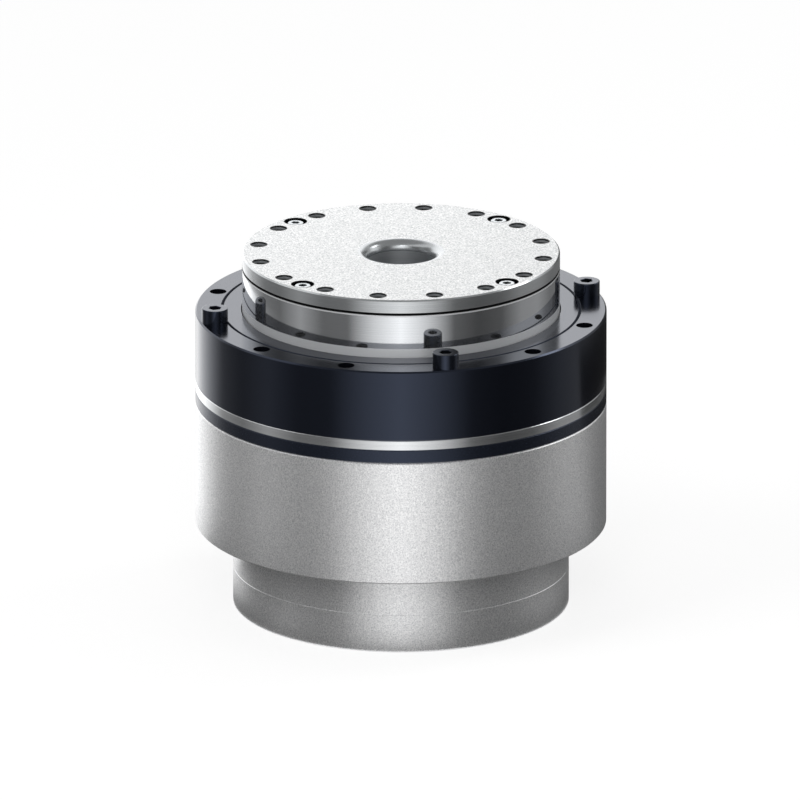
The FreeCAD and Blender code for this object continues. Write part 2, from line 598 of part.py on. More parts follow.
# Output flange: turned aluminium disc with a boss for the cable tube.
flange = turned(
    "output_flange",
    [
        ("bore_radius", "socket_top"),
        ("tube_seat", "socket_top"),
        ("tube_seat", "boss_level"),
        ("boss_radius", "boss_level"),
        ("boss_radius", "hub_top"),
        ("hub_radius", "hub_top"),
        ("hub_radius", "output_face - edge_chamfer"),
        ("hub_radius - edge_chamfer", "output_face"),
        ("bore_radius", "output_face"),
    ],
)
doc.recompute()
flange_turned = flange.Tip
mouth = next(
    f"Edge{number}"
    for number, edge in enumerate(flange_turned.Shape.Edges, start=1)
    if isinstance(edge.Curve, Part.Circle)
    and abs(edge.Curve.Radius - value("bore_radius")) < value("fit_clearance")
    and abs(edge.Curve.Center.z - value("output_face")) < value("fit_clearance")
)
lip = flange.newObject("PartDesign::Fillet", "bore_mouth")
lip.Base = (flange_turned, [mouth])
lip.setExpression("Radius", cell("bore_lip"))
drill(
    flange,
    "output_holes",
    "output_tap_diameter",
    "output_circle",
    "output_bolt_count",
    "output_face",
    "hub_top",
)
FLANGE_SCREW_HOLE = "flange_screw_diameter + fit_clearance * 2"
FLANGE_SCREW_SEAT = "output_face - flange_screw_sink - flange_screw_head_height"
drill(
    flange,
    "flange_screw_holes",
    FLANGE_SCREW_HOLE,
    "output_circle",
    "flange_screw_count",
    "output_face",
    "hub_top",
    "flange_screw_angle",
)
drill(
    flange,
    "flange_screw_counterbores",
    "flange_screw_head + flange_screw_gap * 2",
    "output_circle",
    "flange_screw_count",
    "output_face",
    FLANGE_SCREW_SEAT,
    "flange_screw_angle",
)

# Bearing inner ring: polished steel hub with the inner raceway and the spline seat.
inner_ring = turned(
    "bearing_inner_ring",
    [
        ("skirt_bore", "skirt_bottom"),
        ("inner_land", "skirt_bottom"),
        ("inner_land", "roller_level - land_rise"),
        ("roller_circle - vee_depth", "roller_level"),
        ("inner_land", "roller_level + land_rise"),
        ("inner_land", "shoulder_level"),
        ("hub_radius", "shoulder_level"),
        ("hub_radius", "hub_top - hub_groove"),
        ("hub_radius - hub_groove_depth", "hub_top - hub_groove"),
        ("hub_radius - hub_groove_depth", "hub_top"),
        ("spline_radius", "hub_top"),
        ("spline_radius", "spline_seat"),
        ("skirt_bore", "spline_seat"),
    ],
)
drill(
    inner_ring,
    "hub_output_holes",
    "output_tap_diameter",
    "output_circle",
    "output_bolt_count",
    "hub_top",
    "output_face - output_tap_depth",
)
drill(
    inner_ring,
    "hub_flange_screw_holes",
    FLANGE_SCREW_HOLE,
    "output_circle",
    "flange_screw_count",
    "hub_top",
    f"{FLANGE_SCREW_SEAT} - flange_screw_length - drill_clearance",
    "flange_screw_angle",
)
SPLINE_SCREW_HOLE = "spline_screw_diameter + fit_clearance * 2"
drill(
    inner_ring,
    "hub_spline_screw_holes",
    SPLINE_SCREW_HOLE,
    "spline_screw_circle",
    "spline_screw_count",
    "spline_seat + spline_screw_grip + drill_clearance",
    "spline_seat",
)


def circular_spline():
    """Internal gear of the output: a gap between teeth is centred on the X axis."""
    points = []
    teeth = count("ring_teeth")
    tip = value("ring_tip")
    root = value("ring_root")
    mouth_angle = value("gap_mouth") / tip / 2
    floor_angle = value("gap_floor") / root / 2
    corners = ((tip, -mouth_angle), (root, -floor_angle), (root, floor_angle), (tip, mouth_angle))
    for tooth in range(teeth):
        middle = 2 * math.pi * tooth / teeth
        for radius, angle in corners:
            x = radius * math.cos(middle + angle)
            y = radius * math.sin(middle + angle)
            points.append(FreeCAD.Vector(x, y, 0))
    opening = Part.Face(Part.makePolygon(points + points[:1]))
    width = value("spline_width")
    flange_radius = value("skirt_bore - land_gap")
    barrel = Part.makeCylinder(value("spline_radius - fit_clearance"), width)
    flange_disc = Part.makeCylinder(flange_radius, value("spline_flange"))
    hole = Part.makeCylinder(value(SPLINE_SCREW_HOLE) / 2, width)
    holes = round_the_axis(shift_along_x(hole, "spline_screw_circle"), count("spline_screw_count"))
    blank = barrel.fuse(flange_disc).removeSplitter().cut(holes)
    return blank.cut(opening.extrude(FreeCAD.Vector(0, 0, width)))


group("circular_spline", [circular_spline()], "spline_bottom")

RING_HOLE = "ring_screw_diameter + drill_clearance * 2"
RING_HOLE_COUNT = "ring_screw_count * (holes_between + 1)"


def flexspline():
    """Hat-shaped spring steel gear, bent to an oval whose long axis lies along X."""
    bore = value("flex_bore")
    root = value("flex_root")
    tip = value("flex_tip")
    wave = value("wave_height")
    low = value("skirt_bottom")
    edge = value("seam_chamfer")
    brim = spun(
        [
            (value("brim_bore"), value("plate_top")),
            (value("body_radius") - edge, value("plate_top")),
            (value("body_radius"), value("plate_top") + edge),
            (value("body_radius"), value("brim_top") - edge),
            (value("body_radius") - edge, value("brim_top")),
            (value("brim_bore"), value("brim_top")),
            (value("brim_bore - diaphragm_thickness"), value("diaphragm_top")),
            (root + value("diaphragm_thickness"), value("diaphragm_top")),
            (root, value("diaphragm_top + diaphragm_thickness")),
            (root, low),
            (bore, low),
            (bore, value("diaphragm_bottom + diaphragm_thickness")),
            (bore + value("diaphragm_thickness"), value("diaphragm_bottom")),
            (value("brim_bore - diaphragm_thickness"), value("diaphragm_bottom")),
        ]
    )
    hole = Part.makeCylinder(value(RING_HOLE) / 2, value("brim_top"))
    holes = round_the_axis(shift_along_x(hole, "screw_circle"), count(RING_HOLE_COUNT))
    bottom = value("tooth_bottom")
    walls = []
    for radius in (root, bore):
        circle = Part.Circle(FreeCAD.Vector(0, 0, low), UP, radius)
        oval = Part.Ellipse(FreeCAD.Vector(0, 0, bottom), radius + wave, radius - wave)
        wires = [Part.Wire(circle.toShape()), Part.Wire(oval.toShape())]
        walls.append(Part.makeLoft(wires, True, True))
    cup = walls[0].cut(walls[1])
    teeth = count("flex_teeth")
    root_angle = value("flex_root_width") / root / 2
    tip_angle = value("flex_tip_width") / tip / 2
    corners = ((root, -root_angle), (tip, -tip_angle), (tip, tip_angle), (root, root_angle))
    points = []
    for tooth in range(teeth):
        middle = 2 * math.pi * tooth / teeth
        points += [bent(radius, middle + angle, bottom) for radius, angle in corners]
    crown = Part.Face(Part.makePolygon(points + points[:1]))
    length = value("tooth_face")
    rim = crown.extrude(FreeCAD.Vector(0, 0, length)).cut(oval_prism(0, bottom, bottom + length))
    return brim.cut(holes).fuse([cup, rim])


group("flexspline", [flexspline()])

# Bearing outer ring: black coated steel, with the lower half of the outer raceway.
outer_ring = turned(
    "bearing_outer_ring",
    [
        ("outer_land", "brim_top"),
        ("body_radius - seam_chamfer", "brim_top"),
        ("body_radius", "brim_top + seam_chamfer"),
        ("body_radius", "ring_face - edge_chamfer"),
        ("body_radius - edge_chamfer", "ring_face"),
        ("clamp_radius + clamp_chamfer", "ring_face"),
        ("clamp_radius", "ring_face - clamp_chamfer"),
        ("clamp_radius", "roller_level"),
        ("roller_circle + vee_depth", "roller_level"),
        ("outer_land", "roller_level - land_rise"),
    ],
)
drill(
    outer_ring,
    "ring_holes",
    RING_HOLE,
    "screw_circle",
    RING_HOLE_COUNT,
    "ring_face",
    "brim_top",
)

# Clamp ring: threaded into the outer ring, with the upper half of the outer raceway.
turned(
    "bearing_clamp_ring",
    [
        ("roller_circle + vee_depth", "roller_level"),
        ("clamp_radius - fit_clearance", "roller_level"),
        ("clamp_radius - fit_clearance", "ring_face - clamp_chamfer"),
        ("clamp_radius - fit_clearance - clamp_chamfer", "ring_face"),
        ("hub_radius + lip_gap", "ring_face"),
        ("hub_radius + lip_gap", "seal_top"),
        ("seal_seat + fit_clearance", "seal_top"),
        ("seal_seat + fit_clearance", "seal_bottom"),
        ("outer_land", "seal_bottom"),
        ("outer_land", "roller_level + land_rise"),
    ],
)

# Output seal: rubber ring with a lip on the polished hub and a relief behind the lip.
turned(
    "output_seal",
    [
        ("seal_bore + seal_notch", "seal_bottom + fit_clearance"),
        ("seal_seat", "seal_bottom + fit_clearance"),
        ("seal_seat", "seal_top - fit_clearance"),
        ("seal_bore + seal_notch", "seal_top - fit_clearance"),
        ("seal_bore", "seal_top - seal_notch"),
        ("seal_bore + seal_notch", "seal_bottom + seal_notch"),
    ],
)


ROLLER_TILT = 45.0


def crossed_rollers():
    """Rollers of the output bearing, each tilted the other way from the last."""
    length = value("roller_length")
    rollers = []
    total = count("roller_count")
    for index in range(total):
        roller = Part.makeCylinder(
            value("roller_diameter") / 2, length, FreeCAD.Vector(0, 0, -length / 2)
        )
        tilt = ROLLER_TILT if index % 2 else -ROLLER_TILT
        roller.rotate(ORIGIN, FreeCAD.Vector(0, 1, 0), tilt)
        shift_along_x(roller, "roller_circle")
        roller.rotate(ORIGIN, UP, index * FULL_TURN / total)
        rollers.append(roller)
    return rollers


group("crossed_rollers", crossed_rollers(), "roller_level")

# Motor front plate: black anodised, closes the motor and carries the front bearing.
front_plate = turned(
    "motor_front_plate",
    [
        ("stator_radius - fit_clearance", "barrel_top"),
        ("body_radius - seam_chamfer", "barrel_top"),
        ("body_radius", "barrel_top + seam_chamfer"),
        ("body_radius", "plate_top - seam_chamfer"),
        ("body_radius - seam_chamfer", "plate_top"),
        ("lip_bore", "plate_top"),
        ("lip_bore", "front_race_top"),
        ("seat_bore", "front_race_top"),
        ("seat_bore", "front_race_bottom"),
        ("seat_radius", "front_race_bottom"),
        ("seat_radius", "barrel_top"),
        ("stator_radius - spigot_width", "barrel_top"),
        ("stator_radius - spigot_width", "barrel_top - spigot_depth"),
        ("stator_radius - fit_clearance", "barrel_top - spigot_depth"),
    ],
)
drill(
    front_plate,
    "plate_holes",
    RING_HOLE,
    "screw_circle",
    RING_HOLE_COUNT,
    "plate_top",
    "barrel_top",
)

# Main housing: turned aluminium with the collar, bearing web and stator bore.
GROOVE_DEPTH = "ring_section + fit_clearance"
housing = turned(
    "main_housing",
    [
        ("board_radius + fit_clearance", "cover_height"),
        ("cap_radius - seam_chamfer", "cover_height"),
        ("cap_radius", "cover_height + seam_chamfer"),
        ("cap_radius", "step_level"),
        ("body_radius - edge_chamfer", "step_level"),
        ("body_radius", "step_level + edge_chamfer"),
        ("body_radius", "barrel_top - edge_chamfer"),
        ("body_radius - edge_chamfer", "barrel_top"),
        ("ring_groove_radius + ring_section / 2", "barrel_top"),
        ("ring_groove_radius + ring_section / 2", f"barrel_top - ({GROOVE_DEPTH})"),
        ("ring_groove_radius - ring_section / 2", f"barrel_top - ({GROOVE_DEPTH})"),
        ("ring_groove_radius - ring_section / 2", "barrel_top"),
        ("stator_radius", "barrel_top"),
        ("stator_radius", "stator_bottom"),
        ("stator_radius - stator_ledge", "stator_bottom"),
        ("stator_radius - stator_ledge", "web_top"),
        ("seat_radius", "web_top"),
        ("seat_radius", "rear_race_top"),
        ("seat_bore", "rear_race_top"),
        ("seat_bore", "rear_race_bottom"),
        ("lip_bore", "rear_race_bottom"),
        ("lip_bore", "web_bottom"),
        ("cavity_radius", "web_bottom"),
        ("cavity_radius", "board_top"),
        ("board_radius + fit_clearance", "board_top"),
    ],
)
drill(
    housing,
    "housing_screw_holes",
    "ring_screw_diameter + fit_clearance * 2",
    "screw_circle",
    "ring_screw_count",
    "barrel_top",
    "ring_face - ring_screw_length - drill_clearance",
)
HOLE_STEP = "360 / (ring_screw_count * (holes_between + 1))"
for hole_number in range(1, count("holes_between") + 1):
    drill(
        housing,
        f"housing_bolt_holes_{hole_number}",
        RING_HOLE,
        "screw_circle",
        "ring_screw_count",
        "barrel_top",
        "step_level",
        f"{hole_number} * {HOLE_STEP}",
    )
COVER_SCREW_HOLE = "cover_screw_diameter + fit_clearance * 2"
drill(
    housing,
    "housing_cover_screw_holes",
    COVER_SCREW_HOLE,
    "cover_screw_circle",
    "cover_screw_count",
    "cover_height + cover_screw_grip + drill_clearance",
    "cover_height",
)
BRAKE_SCREW_HOLE = "brake_screw_diameter + fit_clearance * 2"
drill(
    housing,
    "housing_brake_screw_holes",
    BRAKE_SCREW_HOLE,
    "brake_screw_circle",
    "brake_screw_count",
    "web_top",
    "web_bottom",
)
BRAKE_SCREW_SEAT = "web_top - brake_screw_sink"
drill(
    housing,
    "housing_brake_screw_seats",
    "brake_screw_head + drill_clearance * 2",
    "brake_screw_circle",
    "brake_screw_count",
    "stator_bottom",
    BRAKE_SCREW_SEAT,
)

# Sealing ring: rubber ring in the groove of the housing, under the front plate.
sealing_ring = doc.addObject("Part::Torus", "plate_sealing_ring")
sealing_ring.setExpression("Radius1", cell("ring_groove_radius"))
sealing_ring.setExpression("Radius2", cell("ring_section / 2 - fit_clearance / 2"))
sealing_ring.setExpression("Placement.Base.z", cell(f"barrel_top - ({GROOVE_DEPTH}) / 2"))


def motor_bearing(end, bottom, top):
    """Deep groove ball bearing of the motor shaft: two races, their balls and the cage."""
    middle = f"({bottom} + {top}) / 2"
    groove = "ball_diameter + running_clearance * 2"
    outer = ring(f"{end}_bearing_outer_race", "race_outside - race_thickness", "race_outside", bottom, top)
    ball_groove(outer, f"{end}_outer_groove", "ball_circle", middle, groove)
    inner = ring(f"{end}_bearing_inner_race", "shaft_seat", "shaft_seat + race_thickness", bottom, top)
    ball_groove(inner, f"{end}_inner_groove", "ball_circle", middle, groove)
    ball = shift_along_x(Part.makeSphere(value("ball_diameter") / 2), "ball_circle")
    group(f"{end}_bearing_balls", round_the_axis(ball, count("ball_count")), middle)
    near = value("shaft_seat + race_thickness + cage_gap")
    far = value("race_outside - race_thickness - cage_gap")
    half = value("cage_width") / 2
    hoop = spun([(near, -half), (far, -half), (far, half), (near, half)])
    pocket_radius = value("ball_diameter / 2 + pocket_gap")
    pocket = Part.makeCylinder(pocket_radius, value("race_outside"), ORIGIN, FreeCAD.Vector(1, 0, 0))
    group(f"{end}_bearing_cage", [hoop.cut(round_the_axis(pocket, count("ball_count")))], middle)


motor_bearing("front", "front_race_bottom", "front_race_top")
motor_bearing("rear", "rear_race_bottom", "rear_race_top")

# Motor shaft: hollow steel shaft with a collar between the two bearings.
turned(
    "motor_shaft",
    [
        ("shaft_bore", "shaft_bottom"),
        ("shaft_radius", "shaft_bottom"),
        ("shaft_radius", "rear_race_top + fit_clearance"),
        ("shoulder_radius", "rear_race_top + fit_clearance"),
        ("shoulder_radius", "front_race_bottom - fit_clearance"),
        ("shaft_radius", "front_race_bottom - fit_clearance"),
        ("shaft_radius", "nut_top"),
        ("shaft_bore", "nut_top"),
    ],
)

# Rotor hub: steel hub, lightened web and rim that carry the magnets.
rotor = turned(
    "rotor_hub",
    [
        ("rotor_bore", "stator_middle - rotor_hub_length / 2"),
        ("rotor_hub_radius", "stator_middle - rotor_hub_length / 2"),
        ("rotor_hub_radius", "stator_middle - rotor_web / 2"),
        ("rim_bore", "stator_middle - rotor_web / 2"),
        ("rim_bore", "stator_bottom"),
        ("rim_radius", "stator_bottom"),
        ("rim_radius", "stator_top"),
        ("rim_bore", "stator_top"),
        ("rim_bore", "stator_middle + rotor_web / 2"),
        ("rotor_hub_radius", "stator_middle + rotor_web / 2"),
        ("rotor_hub_radius", "stator_middle + rotor_hub_length / 2"),
        ("rotor_bore", "stator_middle + rotor_hub_length / 2"),
    ],
)
drill(
    rotor,
    "rotor_web_holes",
    "web_hole_diameter",
    "(rotor_hub_radius + rim_bore) / 2",
    "web_hole_count",
    "stator_middle + rotor_web / 2",
    "stator_middle - rotor_web / 2",
)


def rotor_magnets():
    """Curved magnets bonded round the rotor rim."""
    inside = value("rim_radius + fit_clearance")
    outside = value("magnet_radius")
    length = value("stator_length")
    pieces = count("magnet_count")
    sweep = FULL_TURN / pieces - math.degrees(value("magnet_spacing") / inside)
    outline = [(inside, 0), (outside, 0), (outside, length), (inside, length)]
    return round_the_axis(spun(outline, sweep), pieces, -sweep / 2)


group("rotor_magnets", rotor_magnets(), "stator_bottom")

# Stator core: laminated ring with T-shaped teeth.
stator = ring("stator_core", "slot_radius", "stator_radius - fit_clearance", "stator_bottom", "stator_top")
tooth_sketch = flat_sketch(stator, "stator_tooth_outline", "stator_bottom", "0")
draw_outline(
    tooth_sketch,
    [
        ("stator_bore", "-shoe_width / 2"),
        ("stator_bore + shoe_thickness", "-shoe_width / 2"),
        ("stator_bore + shoe_thickness", "-stator_tooth_width / 2"),
        ("slot_radius + back_iron / 2", "-stator_tooth_width / 2"),
        ("slot_radius + back_iron / 2", "stator_tooth_width / 2"),
        ("stator_bore + shoe_thickness", "stator_tooth_width / 2"),
        ("stator_bore + shoe_thickness", "shoe_width / 2"),
        ("stator_bore", "shoe_width / 2"),
    ],
)
stator_tooth = stator.newObject("PartDesign::Pad", "stator_tooth")
stator_tooth.Profile = tooth_sketch
stator_tooth.setExpression("Length", cell("stator_length"))
repeat_round(stator, stator_tooth, "stator_teeth")


def stator_coils():
    """One wound copper coil with rounded corners on each stator tooth."""
    gap = value("coil_gap")
    near = value("stator_bore + shoe_thickness") + gap
    depth = value("slot_radius") - gap - near
    depth -= near + depth - math.sqrt((near + depth) ** 2 - value("shoe_width") ** 2 / 4)
    half_width = near * math.tan(math.pi / count("stator_teeth")) - gap
    inner_half = value("stator_tooth_width / 2") + gap
    length = value("stator_length")
    end = value("end_turn")
    low = FreeCAD.Vector(near, -half_width, -end)
    block = Part.makeBox(depth, 2 * half_width, length + 2 * end, low)
    corners = [edge for edge in block.Edges if abs(edge.tangentAt(edge.FirstParameter).x) > 0.5]
    rounded = block.makeFillet(min(value("coil_corner"), half_width / 2), corners)
    core = Part.makeBox(depth, 2 * inner_half, length + 2 * gap, FreeCAD.Vector(near, -inner_half, -gap))
    return round_the_axis(rounded.cut(core), count("stator_teeth"))


group("stator_coils", stator_coils(), "stator_bottom")

# Wave generator: oval steel plug on the shaft with a thin ball bearing round it.
WAVE_FIT = value("fit_clearance")
wave_outside = -WAVE_FIT
wave_inside = wave_outside - value("wave_section")
plug_edge = wave_inside - WAVE_FIT
plug_hole = Part.makeCylinder(value("shaft_seat"), value("wave_width"))
group("wave_plug", [oval_prism(plug_edge, 0, value("wave_width")).cut(plug_hole)], "wave_bottom")


def wave_bearing():
    """Oval races with a shallow groove each, and balls between them."""
    width = value("wave_width")
    race = value("wave_race")
    depth = value("wave_groove")
    ball_radius = value("wave_section - 2 * wave_race") / 2 + depth - value("running_clearance")
    low = width / 2 - ball_radius
    high = width / 2 + ball_radius
    outer = oval_prism(wave_outside, 0, width).cut(oval_prism(wave_outside - race, 0, width))
    outer = outer.cut(oval_prism(wave_outside - race + depth, low, high))
    inner = oval_prism(wave_inside + race, 0, width)
    waist = oval_prism(wave_inside + race, low, high).cut(
        oval_prism(wave_inside + race - depth, low, high)
    )
    inner = inner.cut(waist).cut(oval_prism(wave_inside, 0, width))
    middle = value("flex_bore") + (wave_outside + wave_inside) / 2
    wave = value("wave_height")
    balls = []
    total = count("wave_ball_count")
    for index in range(total):
        angle = 2 * math.pi * index / total
        x = (middle + wave) * math.cos(angle)
        y = (middle - wave) * math.sin(angle)
        balls.append(Part.makeSphere(ball_radius, FreeCAD.Vector(x, y, width / 2)))
    group("wave_outer_race", [outer], "wave_bottom")
    group("wave_inner_race", [inner], "wave_bottom")
    group("wave_balls", balls, "wave_bottom")


wave_bearing()

# Spacer and nut that hold the wave plug on the shaft.
ring(
    "shaft_spacer",
    "shaft_seat",
    "shaft_seat + spacer_wall",
    "front_race_top + fit_clearance",
    "wave_bottom - fit_clearance",
)
ring("shaft_nut", "shaft_seat", "nut_radius", "wave_top + fit_clearance", "nut_top")

# Cable tube and the bush that guides its rear end.
ring("cable_tube", "bore_radius", "tube_radius", "tube_setback", "socket_top - fit_clearance")
BUSH_BORE = "tube_radius + running_clearance"
ring("tube_bush", BUSH_BORE, "bush_radius", "tube_setback", "cover_wall")

# Encoder rings: one on the cable tube for the output, one on the motor shaft.
ring(
    "output_encoder_ring",
    "tube_seat",
    "tube_seat + encoder_ring_width + shaft_wall",
    "output_ring_bottom",
    "output_ring_top",
)
ring(
    "motor_encoder_ring",
    "shaft_seat",
    "shaft_seat + encoder_ring_width",
    "motor_ring_bottom",
    "motor_ring_top",
)

# Encoder board in the end of the housing, and its sensor chips on both faces.
encoder_board = ring(
    "encoder_board", "board_bore", "board_radius", "cover_height", "board_top"
)
STANDOFF_HOLE = "board_screw_diameter + fit_clearance * 2"
STANDOFF_ANGLE = "180 / standoff_count"
drill(
    encoder_board,
    "encoder_board_holes",
    STANDOFF_HOLE,
    "standoff_circle",
    "standoff_count",
    "board_top",
    "cover_height",
    STANDOFF_ANGLE,
)


def encoder_sensors():
    """Two chips over each encoder ring, on opposite sides of the shaft."""
    side = value("sensor_side")
    thickness = value("sensor_thickness")
    chips = []
    for bottom in (-thickness, value("board_thickness")):
        chip = Part.makeBox(side, side, thickness, FreeCAD.Vector(-side / 2, -side / 2, bottom))
        chips += round_the_axis(shift_along_x(chip, "sensor_circle"), 2)
    return chips


group("encoder_sensors", encoder_sensors(), "cover_height")

# Drive board on its standoffs below the encoder board.
drive_board = ring(
    "drive_board", "tube_radius + drive_board_bore", "drive_board_radius", "drive_bottom", "drive_top"
)
drill(
    drive_board,
    "drive_board_holes",
    STANDOFF_HOLE,
    "standoff_circle",
    "standoff_count",
    "drive_top",
    "drive_bottom",
    STANDOFF_ANGLE,
)
STANDOFF_START = value(STANDOFF_ANGLE)
standoff =Part.makeCylinder(value("standoff_radius"), value("cover_height - drive_top"))
standoff = standoff.cut(Part.makeCylinder(value(STANDOFF_HOLE) / 2, value("cover_height - drive_top")))
shift_along_x(standoff, "standoff_circle")
group("board_standoffs", round_the_axis(standoff, count("standoff_count"), STANDOFF_START), "drive_top")


def board_screws():
    """Screws through the drive board into its standoffs, heads towards the rear."""
    screw = socket_screw(
        value("board_screw_head"),
        value("board_screw_head_height"),
        value("board_screw_diameter"),
        value("board_thickness + board_screw_grip"),
        value("board_screw_diameter") / 2,
    )
    screw.rotate(ORIGIN, FreeCAD.Vector(1, 0, 0), FULL_TURN / 2)
    return round_the_axis(
        shift_along_x(screw, "standoff_circle"), count("standoff_count"), STANDOFF_START
    )


group("board_screws", board_screws(), "drive_bottom")


def drive_components():
    """Power transistors under the drive board, on the thermal pad."""
    side = value("chip_side")
    height = value("drive_board_rise - pad_thickness")
    chip = Part.makeBox(side, side, height, FreeCAD.Vector(-side / 2, -side / 2, 0))
    shift_along_x(chip, "connector_circle")
    chips = []
    for start in (0.0, FULL_TURN / 2):
        for step in (-1, 0, 1):
            chips += round_the_axis(chip, 1, start + step * value("chip_pitch"))
    return chips


group("drive_components", drive_components(), "cover_wall + pad_thickness")


def thermal_pads():
    """Soft pads between the transistors and the rear wall."""
    inside = value("connector_circle - chip_side / 2")
    outside = value("connector_circle + chip_side / 2")
    top = value("pad_thickness")
    sweep = 3 * value("chip_pitch")
    outline = [(inside, 0), (outside, 0), (outside, top), (inside, top)]
    return round_the_axis(spun(outline, sweep), 2, -sweep / 2)


group("thermal_pads", thermal_pads(), "cover_wall")

# Rear cover: turned aluminium cup with screw counterbores and connector openings.
cover = turned(
    "rear_cover",
    [
        ("bush_radius + fit_clearance", "0"),
        ("cap_radius - edge_chamfer", "0"),
        ("cap_radius", "edge_chamfer"),
        ("cap_radius", "cover_height - seam_chamfer"),
        ("cap_radius - seam_chamfer", "cover_height"),
        ("cavity_radius", "cover_height"),
        ("cavity_radius", "cover_wall"),
        ("bush_radius + fit_clearance", "cover_wall"),
    ],
)
drill(
    cover,
    "cover_screw_holes",
    COVER_SCREW_HOLE,
    "cover_screw_circle",
    "cover_screw_count",
    "cover_height",
    "0",
)
drill(
    cover,
    "cover_screw_counterbores",
    "cover_screw_head + drill_clearance * 2",
    "cover_screw_circle",
    "cover_screw_count",
    "cover_screw_seat",
    "0",
)
CONNECTOR_ANGLES = {"power": "90", "signal": "270"}
for side, angle in CONNECTOR_ANGLES.items():
    window(
        cover,
        f"{side}_opening",
        "connector_circle",
        f"{side}_depth + connector_gap * 2",
        f"{side}_width + connector_gap * 2",
        angle,
    )


def connector_shell(side):
    """Moulded shell on the drive board, open to the rear."""
    width = value(f"{side}_width")
    depth = value(f"{side}_depth")
    wall = value("connector_wall")
    height = value("drive_bottom - connector_setback")
    shell = Part.makeBox(depth, width, height, FreeCAD.Vector(-depth / 2, -width / 2, 0))
    inside = FreeCAD.Vector(wall - depth / 2, wall - width / 2, 0)
    shell = shell.cut(Part.makeBox(depth - 2 * wall, width - 2 * wall, height - wall, inside))
    return shift_along_x(shell, "connector_circle")


def contact_pins(side, columns, rows):
    """Contact pins with a tapered tip, standing on the floor of a connector shell."""
    wall = value("connector_wall")
    floor = value("drive_bottom - connector_setback - connector_wall")
    radius = value(f"{side}_pin") / 2
    taper = radius / 2
    outline = [(0, wall), (radius - taper, wall), (radius, wall + taper), (radius, floor), (0, floor)]
    pitch = (value(f"{side}_width") - 2 * wall) / columns
    row_pitch = (value(f"{side}_depth") - 2 * wall) / rows
    pins = []
    for row in range(rows):
        for column in range(columns):
            pin = spun(outline)
            x = (row - (rows - 1) / 2) * row_pitch
            y = (column - (columns - 1) / 2) * pitch
            pin.translate(FreeCAD.Vector(x, y, 0))
            pins.append(shift_along_x(pin, "connector_circle"))
    return pins


pins = []
for side, columns, rows in (("power", 2, 1), ("signal", 6, 2)):
    angle = value(CONNECTOR_ANGLES[side])
    shells = round_the_axis(connector_shell(side), 1, angle)
    group(f"{side}_connector", shells, "connector_setback")
    for pin in contact_pins(side, columns, rows):
        pins += round_the_axis(pin, 1, angle)
group("connector_pins", pins, "connector_setback")

# Holding brake: spring-applied disc brake between the encoder board and the web.
turned(
    "brake_disc",
    [
        ("shaft_seat", "motor_ring_top + fit_clearance"),
        ("brake_hub_radius", "motor_ring_top + fit_clearance"),
        ("brake_hub_radius", "disc_bottom + lining_thickness"),
        ("disc_radius", "disc_bottom + lining_thickness"),
        ("disc_radius", "disc_top - lining_thickness"),
        ("brake_hub_radius", "disc_top - lining_thickness"),
        ("brake_hub_radius", "brake_hub_top"),
        ("shaft_seat", "brake_hub_top"),
    ],
)


def brake_linings():
    """Friction rings bonded to both faces of the brake disc."""
    inside = value("disc_radius - lining_width")
    outside = value("disc_radius")
    thickness = value("lining_thickness")
    lower = spun([(inside, 0), (outside, 0), (outside, thickness), (inside, thickness)])
    upper = lower.copy()
    upper.translate(FreeCAD.Vector(0, 0, value("disc_thickness") - thickness))
    return [lower, upper]


group("brake_linings", brake_linings(), "disc_bottom")
end_plate = ring("brake_end_plate", "brake_bore", "brake_radius", "end_plate_bottom", "end_plate_top")
armature = ring("brake_armature", "brake_bore", "brake_radius", "armature_bottom", "armature_top")
magnet_body = turned(
    "brake_magnet_body",
    [
        ("brake_bore", "magnet_body_bottom"),
        ("coil_bore", "magnet_body_bottom"),
        ("coil_bore", "coil_top"),
        ("coil_radius", "coil_top"),
        ("coil_radius", "magnet_body_bottom"),
        ("brake_radius", "magnet_body_bottom"),
        ("brake_radius", "web_bottom"),
        ("brake_bore", "web_bottom"),
    ],
)
SLEEVE_DIAMETER = "brake_screw_diameter + fit_clearance * 2 + sleeve_wall * 2"
SPRING_POCKET = "spring_radius * 2 + spring_wire + drill_clearance * 2"
SPRING_ANGLE = "180 / brake_screw_count"
drill(
    end_plate,
    "end_plate_holes",
    BRAKE_SCREW_HOLE,
    "brake_screw_circle",
    "brake_screw_count",
    "end_plate_top",
    "end_plate_bottom",
)
drill(
    armature,
    "armature_holes",
    f"{SLEEVE_DIAMETER} + drill_clearance * 2",
    "brake_screw_circle",
    "brake_screw_count",
    "armature_top",
    "armature_bottom",
)
drill(
    magnet_body,
    "magnet_body_holes",
    BRAKE_SCREW_HOLE,
    "brake_screw_circle",
    "brake_screw_count",
    "web_bottom",
    "magnet_body_bottom",
)
drill(
    magnet_body,
    "spring_pockets",
    SPRING_POCKET,
    "brake_screw_circle",
    "brake_screw_count",
    "coil_top",
    "magnet_body_bottom",
    SPRING_ANGLE,
)
ring(
    "brake_coil",
    "coil_bore + fit_clearance",
    "coil_radius - fit_clearance",
    "magnet_body_bottom",
    "coil_top - fit_clearance",
)
sleeve_height = value("magnet_body_bottom - end_plate_top")
sleeve = Part.makeCylinder(value(SLEEVE_DIAMETER) / 2, sleeve_height)
sleeve = sleeve.cut(Part.makeCylinder(value(BRAKE_SCREW_HOLE) / 2, sleeve_height))
shift_along_x(sleeve, "brake_screw_circle")
group("brake_sleeves", round_the_axis(sleeve, count("brake_screw_count")), "end_plate_top")


